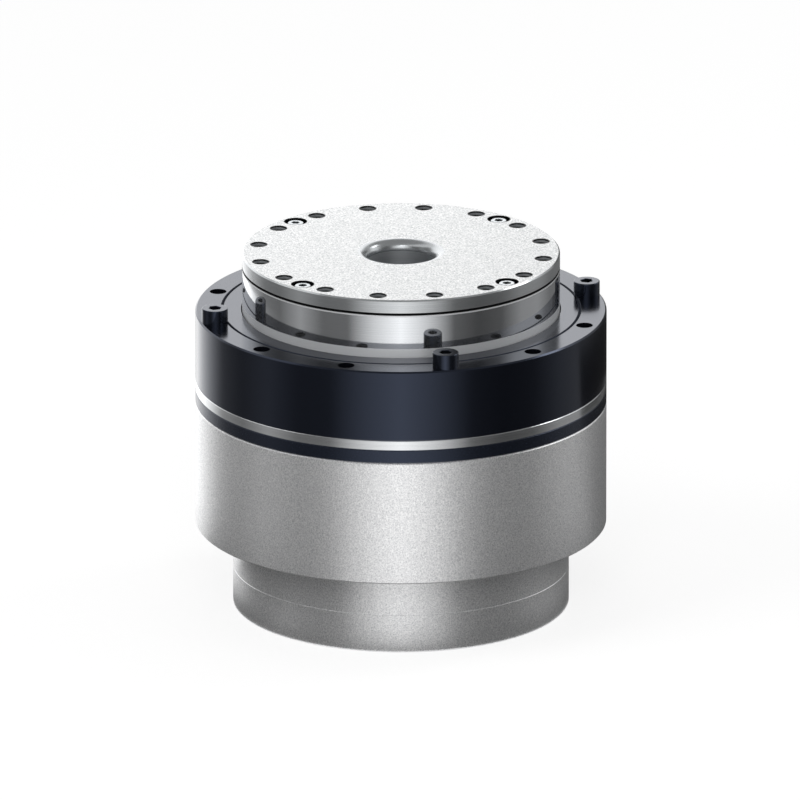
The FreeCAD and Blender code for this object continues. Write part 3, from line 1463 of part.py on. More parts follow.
def brake_springs():
    """Coil springs that push the armature onto the brake disc."""
    wire = value("spring_wire")
    height = value("coil_top - armature_top - running_clearance") - wire
    radius = value("spring_radius")
    helix = Part.makeHelix(height / value("spring_turns"), height, radius)
    section = Part.Circle(FreeCAD.Vector(radius, 0, 0), FreeCAD.Vector(0, 1, 0), wire / 2)
    coil = Part.Wire(helix).makePipeShell([Part.Wire(section.toShape())], True, True)
    coil.translate(FreeCAD.Vector(0, 0, wire / 2))
    shift_along_x(coil, "brake_screw_circle")
    return round_the_axis(coil, count("brake_screw_count"), value(SPRING_ANGLE))


group("brake_springs", brake_springs(), "armature_top + running_clearance")


def screw_ring(label, size, seat, circle, copies, shank, start="0", turned_over=False):
    """Set a ring of socket screws with their heads on a seat."""
    diameter = value(f"{size}_diameter")
    head = value(f"{size}_head")
    head_height = value(f"{size}_head_height") if f"{size}_head_height" in size_names else diameter
    key = value(f"{size}_key") if f"{size}_key" in size_names else head / 2
    screw = socket_screw(head, head_height, diameter, value(shank), key)
    if turned_over:
        screw.rotate(ORIGIN, FreeCAD.Vector(1, 0, 0), FULL_TURN / 2)
    shift_along_x(screw, circle)
    group(label, round_the_axis(screw, count(copies), value(start)), seat)


# Screws, each group on its own seat.
screw_ring(
    "ring_screws", "ring_screw", "ring_face", "screw_circle", "ring_screw_count", "ring_screw_length"
)
screw_ring(
    "flange_screws",
    "flange_screw",
    FLANGE_SCREW_SEAT,
    "output_circle",
    "flange_screw_count",
    "flange_screw_length",
    "flange_screw_angle",
)
screw_ring(
    "spline_screws",
    "spline_screw",
    "spline_bottom",
    "spline_screw_circle",
    "spline_screw_count",
    "spline_flange + spline_screw_grip",
    turned_over=True,
)
screw_ring(
    "rear_cover_screws",
    "cover_screw",
    "cover_screw_seat",
    "cover_screw_circle",
    "cover_screw_count",
    "cover_height - cover_screw_seat + cover_screw_grip",
    turned_over=True,
)
screw_ring(
    "brake_screws",
    "brake_screw",
    BRAKE_SCREW_SEAT,
    "brake_screw_circle",
    "brake_screw_count",
    f"{BRAKE_SCREW_SEAT} - end_plate_bottom",
)


def check_document():
    """Stop if any object failed, a cut removed nothing or a sub-part is not sound."""
    doc.recompute()
    for item in doc.Objects:
        if "Invalid" in item.State or "Error" in item.State:
            raise RuntimeError(f"{item.Label} failed: {item.State}")
        if item.TypeId in ("PartDesign::Pocket", "PartDesign::Groove"):
            if item.Shape.Volume >= item.BaseFeature.Shape.Volume:
                raise RuntimeError(f"{item.Label} cuts nothing")


def write_parts():
    """Write each sub-part to its own file, named after its label."""
    os.makedirs("parts", exist_ok=True)
    kinds = ("PartDesign::Body", "Part::Feature", "Part::Torus")
    for item in doc.Objects:
        if item.TypeId not in kinds:
            continue
        if item.Shape.isNull() or not item.Shape.isValid() or not item.Shape.Solids:
            raise RuntimeError(f"{item.Label} is not a sound solid")
        item.Shape.exportStep(f"parts/{item.Label}.step")
        print(f"{item.Label}: {len(item.Shape.Solids)} solids, {item.Shape.Volume:.1f} mm3")


check_document()
write_parts()
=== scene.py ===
import math

import bmesh
import bpy
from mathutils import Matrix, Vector


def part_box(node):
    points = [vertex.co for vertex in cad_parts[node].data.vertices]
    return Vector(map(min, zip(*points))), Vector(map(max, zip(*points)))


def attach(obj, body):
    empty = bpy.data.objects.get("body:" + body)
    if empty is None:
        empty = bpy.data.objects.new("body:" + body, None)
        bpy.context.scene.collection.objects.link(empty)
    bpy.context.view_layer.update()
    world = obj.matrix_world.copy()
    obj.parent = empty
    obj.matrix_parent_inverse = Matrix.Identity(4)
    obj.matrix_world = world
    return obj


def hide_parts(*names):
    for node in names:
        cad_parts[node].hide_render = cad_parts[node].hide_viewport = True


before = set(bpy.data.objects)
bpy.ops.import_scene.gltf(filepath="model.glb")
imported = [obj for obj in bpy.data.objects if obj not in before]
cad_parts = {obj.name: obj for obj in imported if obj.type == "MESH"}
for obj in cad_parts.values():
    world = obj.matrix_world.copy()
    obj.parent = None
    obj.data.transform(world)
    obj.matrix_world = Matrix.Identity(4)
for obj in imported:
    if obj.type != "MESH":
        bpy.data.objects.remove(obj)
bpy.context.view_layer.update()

# Main housing
# The stepped housing is turned from an aluminium bar, bead blasted all over and clear anodised.
# It carries the stator in its wide barrel, the brake in its narrow collar and every ring above it.
MM = 0.001
# A noise stays mostly between these two values, so a tint runs through its colours there.
TINT_START = 0.3
TINT_END = 0.7


def linear(hex_colour):
    """An sRGB hex colour as linear red, green, blue and alpha."""
    channels = [int(hex_colour[place:place + 2], 16) / 255 for place in (1, 3, 5)]
    shades = [c / 12.92 if c <= 0.04045 else ((c + 0.055) / 1.055) ** 2.4 for c in channels]
    return (*shades, 1.0)


def add_node(tree, kind, settings=None, sockets=None):
    """Adds one node; a socket is given a value, or another node's output to link."""
    made = tree.nodes.new(kind)
    for name, setting in (settings or {}).items():
        setattr(made, name, setting)
    for name, source in (sockets or {}).items():
        if isinstance(source, bpy.types.NodeSocket):
            tree.links.new(source, made.inputs[name])
        else:
            made.inputs[name].default_value = source
    return made


def object_place(tree):
    """The place on a piece in its own coordinates, which are those of the unit."""
    return add_node(tree, "ShaderNodeTexCoord").outputs["Object"]


def work_out(tree, operation, *sources):
    """One step of arithmetic on numbers and node outputs."""
    sockets = dict(enumerate(sources))
    return add_node(tree, "ShaderNodeMath", {"operation": operation}, sockets).outputs["Value"]


def rise(tree, value, start, end):
    """0 where a value is at start, 1 where it is at end, and even between them."""
    return add_node(tree, "ShaderNodeMapRange", sockets={
        "Value": value, "From Min": start, "From Max": end}).outputs["Result"]


def blend(tree, factor, first, second):
    """The first number where the factor is 0 and the second where it is 1."""
    return add_node(tree, "ShaderNodeMix", sockets={
        0: factor, 2: first, 3: second}).outputs[0]


def blend_colour(tree, factor, first, second):
    """The first colour where the factor is 0 and the second where it is 1."""
    return add_node(tree, "ShaderNodeMix", {"data_type": "RGBA"}, {
        0: factor, 6: first, 7: second}).outputs[2]


def new_finish(name, sockets):
    """A new material, its node tree and its shader with the sockets that are the same all over."""
    material = bpy.data.materials.new(name)
    material.use_nodes = True
    shader = material.node_tree.nodes["Principled BSDF"]
    for socket, setting in sockets.items():
        shader.inputs[socket].default_value = setting
    return material, material.node_tree, shader


def dress(material, *nodes):
    """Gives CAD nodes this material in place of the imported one."""
    for name in nodes:
        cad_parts[name].material_slots[0].material = material


def noise(tree, place, size, detail=2.0):
    """A cloudy factor from 0 to 1 whose blots are about this size."""
    return add_node(tree, "ShaderNodeTexNoise", sockets={
        "Vector": place, "Scale": 1 / size, "Detail": detail}).outputs["Fac"]


def spread(tree, factor, low, high):
    """A factor from 0 to 1 spread from low to high, for a socket such as roughness."""
    return add_node(tree, "ShaderNodeMapRange", sockets={
        "Value": factor, "To Min": low, "To Max": high}).outputs["Result"]


def tint(tree, factor, dark, pale):
    """A factor from 0 to 1 as a colour between two hex colours."""
    ramp = add_node(tree, "ShaderNodeValToRGB", sockets={"Fac": factor})
    ramp.color_ramp.elements[0].color = linear(dark)
    ramp.color_ramp.elements[1].color = linear(pale)
    ramp.color_ramp.elements[0].position = TINT_START
    ramp.color_ramp.elements[1].position = TINT_END
    return ramp.outputs["Color"]


def emboss(tree, shader, height, strength, depth):
    """Gives a shader the relief of a height factor, so many metres deep."""
    relief = add_node(tree, "ShaderNodeBump", sockets={
        "Strength": strength, "Distance": depth, "Height": height})
    tree.links.new(relief.outputs["Normal"], shader.inputs["Normal"])


def grained(name, sockets, dark, pale, smooth, rough, size, detail=2.0, relief=None):
    """A finish whose colour, roughness and relief, a strength and a depth, follow one cloudy grain."""
    material, tree, shader = new_finish(name, sockets)
    grain = noise(tree, object_place(tree), size, detail)
    tree.links.new(tint(tree, grain, dark, pale), shader.inputs["Base Color"])
    tree.links.new(spread(tree, grain, smooth, rough), shader.inputs["Roughness"])
    if relief:
        emboss(tree, shader, grain, *relief)
    return material


# Bead-blasted, clear anodised aluminium: an even pale satin with a fine sparkle of tiny dents.
# The dents are about 0.1 mm across, drawn at 0.34 mm so that they show.
BLAST_GRAIN = 0.34 * MM
BLAST_CLOUD = 18 * MM

blasted_aluminium, tree, shader = new_finish("blasted_aluminium", {"Metallic": 0.75})
place = object_place(tree)
grain = noise(tree, place, BLAST_GRAIN)
cloud = noise(tree, place, BLAST_CLOUD, 3.0)
tree.links.new(tint(tree, grain, "#c8c9cb", "#ffffff"), shader.inputs["Base Color"])
tree.links.new(spread(tree, cloud, 0.33, 0.39), shader.inputs["Roughness"])
emboss(tree, shader, grain, 0.4, 0.02 * MM)
dress(blasted_aluminium, "main_housing")

# Stator
# A stack of thin silicon steel sheets with 24 teeth is bonded into the housing bore. Each tooth
# carries a coil of enamelled copper wire. A wave texture of scale 1 turns through 20 radians in a
# metre, so the sheets and wires are drawn about six times as coarse as they are, and show.
SHEET = 0.35 * MM
WIRE = 0.4 * MM
WAVE_TURN = 20

varnished_sheets, tree, shader = new_finish("varnished_steel_sheets", {"Metallic": 1.0})
place = object_place(tree)
stack = add_node(tree, "ShaderNodeTexWave", {"bands_direction": "Z"}, {
    "Vector": place, "Scale": 1 / (SHEET * WAVE_TURN), "Distortion": 0.4}).outputs["Fac"]
tree.links.new(tint(tree, stack, "#6e7074", "#989a9d"), shader.inputs["Base Color"])
tree.links.new(spread(tree, stack, 0.45, 0.6), shader.inputs["Roughness"])
emboss(tree, shader, stack, 0.4, 0.05 * MM)
dress(varnished_sheets, "stator_core")

enamelled_wire, tree, shader = new_finish("enamelled_copper_wire", {
    "Metallic": 1.0, "Coat Weight": 0.6, "Coat Roughness": 0.15})
place = object_place(tree)
turns = add_node(tree, "ShaderNodeTexWave", {"wave_type": "RINGS", "rings_direction": "Z"}, {
    "Vector": place, "Scale": 1 / (WIRE * WAVE_TURN), "Distortion": 1.0, "Detail": 1.0}).outputs["Fac"]
tree.links.new(tint(tree, turns, "#8a3f1a", "#c9713a"), shader.inputs["Base Color"])
tree.links.new(spread(tree, turns, 0.28, 0.42), shader.inputs["Roughness"])
emboss(tree, shader, turns, 0.8, 0.15 * MM)
dress(enamelled_wire, "stator_coils", "brake_coil")

# Motor bearings and rotor
# Two ball bearings with moulded cages, in the housing and the front plate, carry the hollow steel
# shaft. The rotor hub on it holds 20 plated magnets, and a nut clamps the wave generator.
LINE_RELIEF = 0.2


def flat_length(tree, across, along):
    """The length of a flat step, from its two sides."""
    flat = add_node(tree, "ShaderNodeCombineXYZ", sockets={"X": across, "Y": along})
    return add_node(tree, "ShaderNodeVectorMath", {"operation": "LENGTH"}, {
        "Vector": flat.outputs["Vector"]}).outputs["Value"]


def from_axis(tree, place):
    """The distance of a place from the joint axis, and the place's three coordinates."""
    axes = add_node(tree, "ShaderNodeSeparateXYZ", sockets={"Vector": place}).outputs
    return flat_length(tree, axes["X"], axes["Y"]), axes


def lathe_lines(tree, place, mark):
    """A factor of fine lines that follow the turning, about one mark apart and never across it."""
    radius, axes = from_axis(tree, place)
    section = add_node(tree, "ShaderNodeCombineXYZ", sockets={"X": radius, "Y": axes["Z"]})
    return noise(tree, section.outputs["Vector"], mark)


def turned_metal(name, dark, pale, smooth, rough, mark, depth, metal=1.0):
    """Metal with the fine lines of its turning, grinding or drawing."""
    material, tree, shader = new_finish(name, {"Metallic": metal})
    place = object_place(tree)
    lines = lathe_lines(tree, place, mark)
    tree.links.new(tint(tree, lines, dark, pale), shader.inputs["Base Color"])
    tree.links.new(spread(tree, lines, smooth, rough), shader.inputs["Roughness"])
    emboss(tree, shader, lines, LINE_RELIEF, depth)
    return material


def moulded_plastic(name, dark, pale, smooth, rough, grain_size):
    """A moulded plastic: one colour with the fine grain that the mould was etched with."""
    return grained(
        name, {"IOR": 1.5}, dark, pale, smooth, rough, grain_size, relief=(0.2, 0.02 * MM))


# Bearing steel, hardened and ground: bright, with grinding lines some 0.15 mm apart.
ground_bearing_steel = turned_metal(
    "ground_bearing_steel", "#c9ccd0", "#dcdfe2", 0.12, 0.22, 0.15 * MM, 0.004 * MM)
dress(
    ground_bearing_steel, "front_bearing_outer_race", "front_bearing_inner_race",
    "front_bearing_balls", "rear_bearing_outer_race", "rear_bearing_inner_race",
    "rear_bearing_balls", "crossed_rollers", "wave_inner_race", "wave_outer_race", "wave_balls")

# Glass-filled polyamide cages: a warm near-black with a faint moulded grain.
moulded_cage = moulded_plastic("moulded_polyamide", "#2b2a28", "#363431", 0.4, 0.5, 0.4 * MM)
dress(moulded_cage, "front_bearing_cage", "rear_bearing_cage")

# Heat-treated carbon steel, turned: greyer, with feed marks about 0.2 mm apart.
turned_gear_steel = turned_metal(
    "turned_gear_steel", "#aeb1b5", "#c6c9cc", 0.25, 0.38, 0.2 * MM, 0.008 * MM)
dress(turned_gear_steel, "motor_shaft", "rotor_hub", "shaft_spacer", "shaft_nut")

# Nickel plate on sintered magnets: dull bright metal with a faint mottle of 2 mm.
nickel_plate = grained(
    "nickel_plated_magnet", {"Metallic": 1.0}, "#a4a39f", "#b9b8b3", 0.25, 0.4, 2 * MM, 4.0)
dress(nickel_plate, "rotor_magnets", "motor_encoder_ring", "output_encoder_ring")

# Holding brake
# A thin steel disc with bonded linings runs between an end plate and an armature that springs
# press against it. The coil in the magnet body pulls the armature off.
dress(
    turned_gear_steel, "brake_disc", "brake_end_plate", "brake_armature", "brake_magnet_body",
    "brake_sleeves")

# Pressed friction lining: matt brown grey, with fibres and grit of about 0.6 mm.
friction_lining = grained(
    "pressed_friction_lining", {"IOR": 1.5}, "#3a3630", "#5b5347", 0.7, 0.9, 0.6 * MM, 5.0,
    relief=(0.5, 0.05 * MM))
dress(friction_lining, "brake_linings")

# Motor front plate
# The thin black band above the housing is the rim of the plate that holds the front bearing. It
# is turned aluminium, hard anodised black, with a rubber ring between it and the housing.


def black_coat(name, dark, pale, smooth, rough, grain_size):
    """A thin coating on metal: blue-black, with a clear gloss that a fine grain breaks."""
    return grained(
        name, {"IOR": 1.62, "Specular Tint": linear("#c4d4fa")}, dark, pale, smooth, rough, grain_size,
        relief=(0.1, 0.01 * MM))


# Hard anodised black: a deep blue-black with a fine grain of 0.3 mm under a soft gloss.
black_anodised = black_coat("black_hard_anodised", "#0d0f15", "#141821", 0.22, 0.30, 0.3 * MM)
dress(black_anodised, "motor_front_plate")

# Black nitrile rubber: matt, with a faint moulded skin of 0.4 mm.
nitrile_rubber = grained(
    "nitrile_rubber", {"IOR": 1.52}, "#17171a", "#1f1f22", 0.55, 0.7, 0.4 * MM, 3.0)
dress(nitrile_rubber, "plate_sealing_ring", "output_seal")

# Strain wave gear
# The flexspline is one thin steel hat. Only its brim shows, as the bright ground ring clamped
# between the front plate and the black outer ring. The circular spline turns with the output.
bright_ground_steel = turned_metal(
    "bright_ground_steel", "#d3d5d7", "#e2e4e6", 0.12, 0.20, 0.18 * MM, 0.004 * MM, 0.96)
dress(bright_ground_steel, "flexspline")
dress(turned_gear_steel, "wave_plug", "circular_spline")

# Output bearing
# A crossed roller bearing carries the output. Its outer ring and the clamp ring inside it are
# steel, ground and coated gloss black, and the inner ring stands above them as a polished hub.
SEAM_RADIUS = 47.9 * MM
SEAM_HALF = 0.4 * MM
SEAM_ROUGHNESS = 0.75
GROOVE_FLOOR = 93.7 * MM
GROOVE_HALF = 0.6 * MM
# Painted shade: the groove under the disc, and the thread where it crosses it, are coloured near black.
GROOVE_SHADE_COLOUR = "#0a0b0c"
GROOVE_ROUGHNESS = 0.7
HUB_FOOT = 84.4 * MM
# A pale band just under the groove, at this height and half width: a painted highlight of the hub's top
# edge.
HUB_EDGE_HIGHLIGHT = 93.5 * MM
HUB_EDGE_HIGHLIGHT_HALF = 0.2 * MM
HUB_METAL = 0.96
SATIN_AND_HIGHLIGHT_COLOUR = "#dcdee0"
SATIN_ROUGHNESS = 0.4
SATIN_METAL = 0.45

gloss_black = black_coat("gloss_black_coating", "#08090d", "#0d0f15", 0.13, 0.19, 0.35 * MM)
dress(gloss_black, "bearing_outer_ring", "bearing_clamp_ring")

# The coating is thin and dull in the fine seam between the two rings.
tree = gloss_black.node_tree
shader = tree.nodes["Principled BSDF"]
radius = from_axis(tree, object_place(tree))[0]
seam = work_out(tree, "COMPARE", radius, SEAM_RADIUS, SEAM_HALF)
gloss = shader.inputs["Roughness"].links[0].from_socket
dulled = blend(tree, seam, gloss, SEAM_ROUGHNESS)
tree.links.new(dulled, shader.inputs["Roughness"])

# Polished steel: a near mirror with hairlines round it, some 0.25 mm apart.
polished_steel = turned_metal(
    "polished_steel", "#d4d7da", "#e1e3e6", 0.04, 0.08, 0.25 * MM, 0.002 * MM)
dress(polished_steel, "bearing_inner_ring")

# The groove round the top of the hub is painted near black and dull: painted shade in the recess. The
# hub's foot, just above the clamp ring, is ground to a pale satin, and a band of the same pale satin
# under the groove is a painted highlight of the hub's broken top edge.
tree = polished_steel.node_tree
shader = tree.nodes["Principled BSDF"]
height = from_axis(tree, object_place(tree))[1]["Z"]
painted_groove_shade = work_out(tree, "GREATER_THAN", height, GROOVE_FLOOR)
foot = work_out(tree, "LESS_THAN", height, HUB_FOOT)
# The pale band under the groove is a painted highlight; the foot is a real satin finish.
edge = work_out(tree, "COMPARE", height, HUB_EDGE_HIGHLIGHT, HUB_EDGE_HIGHLIGHT_HALF)
satin_and_highlight = work_out(tree, "MAXIMUM", foot, edge)
bright = shader.inputs["Base Color"].links[0].from_socket
gloss = shader.inputs["Roughness"].links[0].from_socket
ground = blend_colour(tree, satin_and_highlight, bright, linear(SATIN_AND_HIGHLIGHT_COLOUR))
shaded = blend_colour(tree, painted_groove_shade, ground, linear(GROOVE_SHADE_COLOUR))
matted = blend(tree, satin_and_highlight, gloss, SATIN_ROUGHNESS)
dulled = blend(tree, painted_groove_shade, matted, GROOVE_ROUGHNESS)
metal = blend(tree, satin_and_highlight, spread(tree, painted_groove_shade, HUB_METAL, 0.0), SATIN_METAL)
tree.links.new(shaded, shader.inputs["Base Color"])
tree.links.new(dulled, shader.inputs["Roughness"])
tree.links.new(metal, shader.inputs["Metallic"])

# Output flange
# The pale disc on the hub is turned aluminium. Its face is blasted more coarsely than the housing, its
# rim is left as it was turned, and the round lip of the cable bore is polished. The mouths of its tapped
# holes and counterbores are painted near black as painted shade, and the wall of each tapped hole carries
# a painted lit band just under the face, with painted shade above and below it.
FLANGE_GRAIN = 0.42 * MM
RIM_LINES = 0.15 * MM
LIP_EDGE = 11.6 * MM
RIM_EDGE = 42.1 * MM
EDGE_FADE = 0.1 * MM
TAP_CIRCLE = 38.5 * MM
TAP_COUNT = 16
# From the centre of each tapped hole: the reach of the painted shade round its mouth, and the reach of
# its wall.
TAP_MOUTH = 2.32 * MM
TAP_WALL = 2.12 * MM
# Depth under the face, and half height, of the painted lit band on each tapped wall.
TAP_PAINTED_LIGHT = 0.7 * MM
TAP_PAINTED_LIGHT_HALF = 0.3 * MM
OUTPUT_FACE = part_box("output_flange")[1][2]
FLANGE_SCREW_COUNT = 4
FLANGE_SCREW_START = 33.75
# Reach of the painted shade round each counterbore.
FLANGE_SCREW_MOUTH = 3.1 * MM


def spots_round(tree, radius, axes, copies, start, reach):
    """1 within reach of places spaced evenly on the bolt circle, and 0 elsewhere."""
    step = 2 * math.pi / copies
    turn = work_out(tree, "ARCTAN2", axes["Y"], axes["X"])
    moved = work_out(tree, "SUBTRACT", turn, math.radians(start) - step / 2)
    folded = work_out(tree, "FLOORED_MODULO", moved, step)
    along = work_out(tree, "MULTIPLY_ADD", folded, TAP_CIRCLE, -TAP_CIRCLE * step / 2)
    out = work_out(tree, "SUBTRACT", radius, TAP_CIRCLE)
    return rise(tree, flat_length(tree, along, out), reach + EDGE_FADE, reach)


blasted_flange, tree, shader = new_finish("blasted_and_turned_aluminium", {})
place = object_place(tree)
radius, axes = from_axis(tree, place)
tapped = spots_round(tree, radius, axes, TAP_COUNT, 0, TAP_MOUTH)
bore = spots_round(tree, radius, axes, TAP_COUNT, 0, TAP_WALL)
painted_lit_band = work_out(tree, "COMPARE", axes["Z"], OUTPUT_FACE - TAP_PAINTED_LIGHT, TAP_PAINTED_LIGHT_HALF)
wall = work_out(tree, "MULTIPLY", bore, painted_lit_band)
sunk = spots_round(tree, radius, axes, FLANGE_SCREW_COUNT, FLANGE_SCREW_START, FLANGE_SCREW_MOUTH)
tree.links.new(spread(tree, bore, 0.85, 0.3), shader.inputs["Metallic"])
painted_hole_shade = work_out(tree, "MAXIMUM", tapped, sunk)
lip = rise(tree, radius, LIP_EDGE, LIP_EDGE - EDGE_FADE)
rim = rise(tree, radius, RIM_EDGE, RIM_EDGE + EDGE_FADE)
dents = noise(tree, place, FLANGE_GRAIN)
lines = lathe_lines(tree, place, RIM_LINES)
pale = tint(tree, dents, "#b4b7b8", "#fefefe")
sides = blend_colour(tree, rim, pale, tint(tree, lines, "#bcbfc1", "#c8cbcd"))
polished = blend_colour(tree, lip, sides, linear("#b4b7b9"))
# Painted shade near black in the hole mouths and counterbores, then a painted grey lit band on the tapped
# walls.
hole_shaded = blend_colour(tree, painted_hole_shade, polished, linear("#141617"))
painted_hole_light_and_shade = blend_colour(tree, wall, hole_shaded, linear("#94979a"))
tree.links.new(painted_hole_light_and_shade, shader.inputs["Base Color"])
face = spread(tree, dents, 0.44, 0.52)
edge = blend(tree, rim, face, spread(tree, lines, 0.12, 0.18))
gloss = blend(tree, lip, edge, 0.24)
tree.links.new(gloss, shader.inputs["Roughness"])
relief = blend(tree, rim, dents, lines)
smooth = work_out(tree, "MAXIMUM", lip, rim)
emboss(tree, shader, relief, spread(tree, smooth, 0.8, 0.05), 0.02 * MM)
dress(blasted_flange, "output_flange")

# Cable tube
# A thin drawn aluminium tube, pressed into the disc from behind, that runs to the rear face.
drawn_tube = turned_metal("drawn_aluminium", "#b0b3b6", "#c2c5c8", 0.5, 0.6, 0.3 * MM, 0.004 * MM)
dress(drawn_tube, "cable_tube")

# Output threads
# The sixteen output holes are tapped for M5 screws. Each thread is a coil of the disc's own metal
# with a pitch of 0.8 mm, cut down into the hub.
TAP_RADIUS = 2.1 * MM
TAP_PITCH = 0.8 * MM
TAP_TURNS = 14
TAP_TOOTH = 0.34 * MM
TAP_STEPS = 20
TAP_SUNK = 0.3 * MM
WELD = 0.001 * MM


def pick(piece, kind, test):
    """In edit mode, selects the faces or edges that pass the test and nothing else."""
    bpy.ops.mesh.select_mode(type=kind)
    bpy.ops.mesh.select_all(action="DESELECT")
    mesh = bmesh.from_edit_mesh(piece.data)
    for part in {"FACE": mesh.faces, "EDGE": mesh.edges}[kind]:
        if test(part):
            part.select_set(True)
    mesh.select_flush_mode()
    bmesh.update_edit_mesh(piece.data)


def copy_round(piece, name, copies, circle, height, start=0.0, twist=0.0, over=False):
    """Copies a piece evenly round the joint axis, each copy with its own mesh, and drops the first."""
    made = []
    for number in range(copies):
        turn = math.radians(start) + number * 2 * math.pi / copies
        bpy.ops.object.select_all(action="DESELECT")
        piece.select_set(True)
        bpy.context.view_layer.objects.active = piece
        bpy.ops.object.duplicate()
        copy = bpy.context.object
        copy.name = f"{name}_{number + 1}"
        copy.location = (circle * math.cos(turn), circle * math.sin(turn), height)
        copy.rotation_euler = (math.pi if over else 0.0, 0.0, turn + number * math.radians(twist))
        bpy.ops.object.transform_apply()
        made.append(copy)
    bpy.data.objects.remove(piece)
    return made


bpy.ops.object.select_all(action="DESELECT")
bpy.ops.mesh.primitive_circle_add(
    vertices=3, radius=TAP_TOOTH, location=(TAP_RADIUS, 0, -TAP_PITCH * TAP_TURNS - TAP_TOOTH),
    rotation=(math.pi / 2, 0, 0))
thread = bpy.context.object
bpy.ops.object.transform_apply()
bpy.ops.object.mode_set(mode="EDIT")
bpy.ops.mesh.select_all(action="SELECT")
bpy.ops.transform.rotate(value=math.pi / 2, orient_axis="Y", center_override=thread.data.vertices[0].co)
bpy.ops.object.mode_set(mode="OBJECT")
coil = thread.modifiers.new("coil", "SCREW")
coil.screw_offset = TAP_PITCH
coil.iterations = TAP_TURNS
coil.steps = TAP_STEPS
coil.render_steps = TAP_STEPS
bpy.ops.object.modifier_apply(modifier="coil")
bpy.ops.object.mode_set(mode="EDIT")
bpy.ops.mesh.select_all(action="SELECT")
bpy.ops.mesh.remove_doubles(threshold=WELD)
bpy.ops.mesh.select_all(action="DESELECT")
bpy.ops.mesh.select_non_manifold()
bpy.ops.mesh.fill_holes(sides=4)
bpy.ops.mesh.select_all(action="SELECT")
bpy.ops.mesh.normals_make_consistent(inside=False)
bpy.ops.object.mode_set(mode="OBJECT")

# Cut aluminium: bright in the flanks, greyer than the blasted face.
tapped_aluminium = turned_metal(
    "tapped_aluminium", "#d0d2d4", "#e0e2e4", 0.3, 0.4, 0.3 * MM, 0.004 * MM, 0.3)
thread.data.materials.append(tapped_aluminium)

# Where the thread crosses the groove under the disc it gets the same painted shade as the groove.
tree = tapped_aluminium.node_tree
shader = tree.nodes["Principled BSDF"]
height = from_axis(tree, object_place(tree))[1]["Z"]
crossing_shade = work_out(tree, "COMPARE", height, GROOVE_FLOOR + GROOVE_HALF, GROOVE_HALF)
bright = shader.inputs["Base Color"].links[0].from_socket
shaded = blend_colour(tree, crossing_shade, bright, linear(GROOVE_SHADE_COLOUR))
tree.links.new(shaded, shader.inputs["Base Color"])
for copy in copy_round(thread, "output_thread", TAP_COUNT, TAP_CIRCLE, OUTPUT_FACE - TAP_SUNK):
    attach(copy, "output")

# Ring screws
# Four M4 socket head cap screws in black oxide clamp the outer ring, the brim and the front plate
# to the housing. Their heads are smooth, with a rounded top edge and a broken socket mouth.
RING_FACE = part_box("bearing_outer_ring")[1][2]
RING_CIRCLE = 51.1 * MM
RING_SCREW_COUNT = 4
SCREW_SIDES = 64
SMOOTH_ANGLE = 30
DOWNWARD = -0.9
# Shares of a head's height: where its top edge lies, and the depth of its key socket.
NEAR_TOP = 0.99
SOCKET_DEPTH = 0.7
# The share of the key's size within which the corners of the socket lie.
SOCKET_REACH = 0.6


def cap_screw(head, height, shank, length, key, rounding):
    """A socket head cap screw whose head stands on z = 0, with its shank below."""
    bpy.ops.object.select_all(action="DESELECT")
    bpy.ops.mesh.primitive_cylinder_add(
        vertices=SCREW_SIDES, radius=head / 2, depth=height, location=(0, 0, height / 2))
    screw = bpy.context.object
    bpy.ops.object.transform_apply()
    bpy.ops.object.mode_set(mode="EDIT")
    pick(screw, "FACE", lambda face: face.normal.z < DOWNWARD)
    bpy.ops.mesh.inset(thickness=(head - shank) / 2)
    bpy.ops.mesh.extrude_region_move(TRANSFORM_OT_translate={"value": (0, 0, -length)})
    bpy.ops.mesh.bevel(offset=shank / 10, segments=1, affect="EDGES")
    pick(screw, "EDGE", lambda edge: all(v.co.z > height * NEAR_TOP for v in edge.verts))
    bpy.ops.mesh.bevel(offset=rounding, segments=4, affect="EDGES")
    bpy.ops.object.mode_set(mode="OBJECT")
    bpy.ops.object.select_all(action="DESELECT")
    bpy.ops.mesh.primitive_cylinder_add(
        vertices=6, radius=key / math.sqrt(3), depth=2 * SOCKET_DEPTH * height, location=(0, 0, height))
    hexagon = bpy.context.object
    bpy.ops.object.transform_apply()
    bpy.ops.object.select_all(action="DESELECT")
    screw.select_set(True)
    bpy.context.view_layer.objects.active = screw
    socket = screw.modifiers.new("socket", "BOOLEAN")
    socket.operation = "DIFFERENCE"
    socket.object = hexagon
    bpy.ops.object.modifier_apply(modifier="socket")
    bpy.data.objects.remove(hexagon)
    bpy.ops.object.mode_set(mode="EDIT")
    pick(screw, "EDGE", lambda edge: all(
        v.co.z > height * NEAR_TOP and v.co.xy.length < key * SOCKET_REACH for v in edge.verts))
    bpy.ops.mesh.bevel(offset=key / 20, segments=1, affect="EDGES")
    bpy.ops.mesh.select_all(action="SELECT")
    bpy.ops.mesh.remove_doubles(threshold=WELD)
    bpy.ops.mesh.normals_make_consistent(inside=False)
    bpy.ops.object.mode_set(mode="OBJECT")
    bpy.ops.object.shade_smooth_by_angle(angle=math.radians(SMOOTH_ANGLE))
    flats = screw.modifiers.new("flats", "WEIGHTED_NORMAL")
    flats.keep_sharp = True
    bpy.ops.object.modifier_apply(modifier="flats")
    return screw


black_oxide = black_coat("black_oxide_steel", "#0a0b0e", "#111318", 0.11, 0.17, 0.5 * MM)
dress(black_oxide, "spline_screws", "brake_screws")
ring_screw = cap_screw(
    head=7 * MM, height=4 * MM, shank=4 * MM, length=34 * MM, key=3 * MM, rounding=0.25 * MM)
ring_screw.data.materials.append(black_oxide)
for copy in copy_round(ring_screw, "ring_screw", RING_SCREW_COUNT, RING_CIRCLE, RING_FACE, twist=17):
    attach(copy, "housing")
    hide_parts("ring_screws")

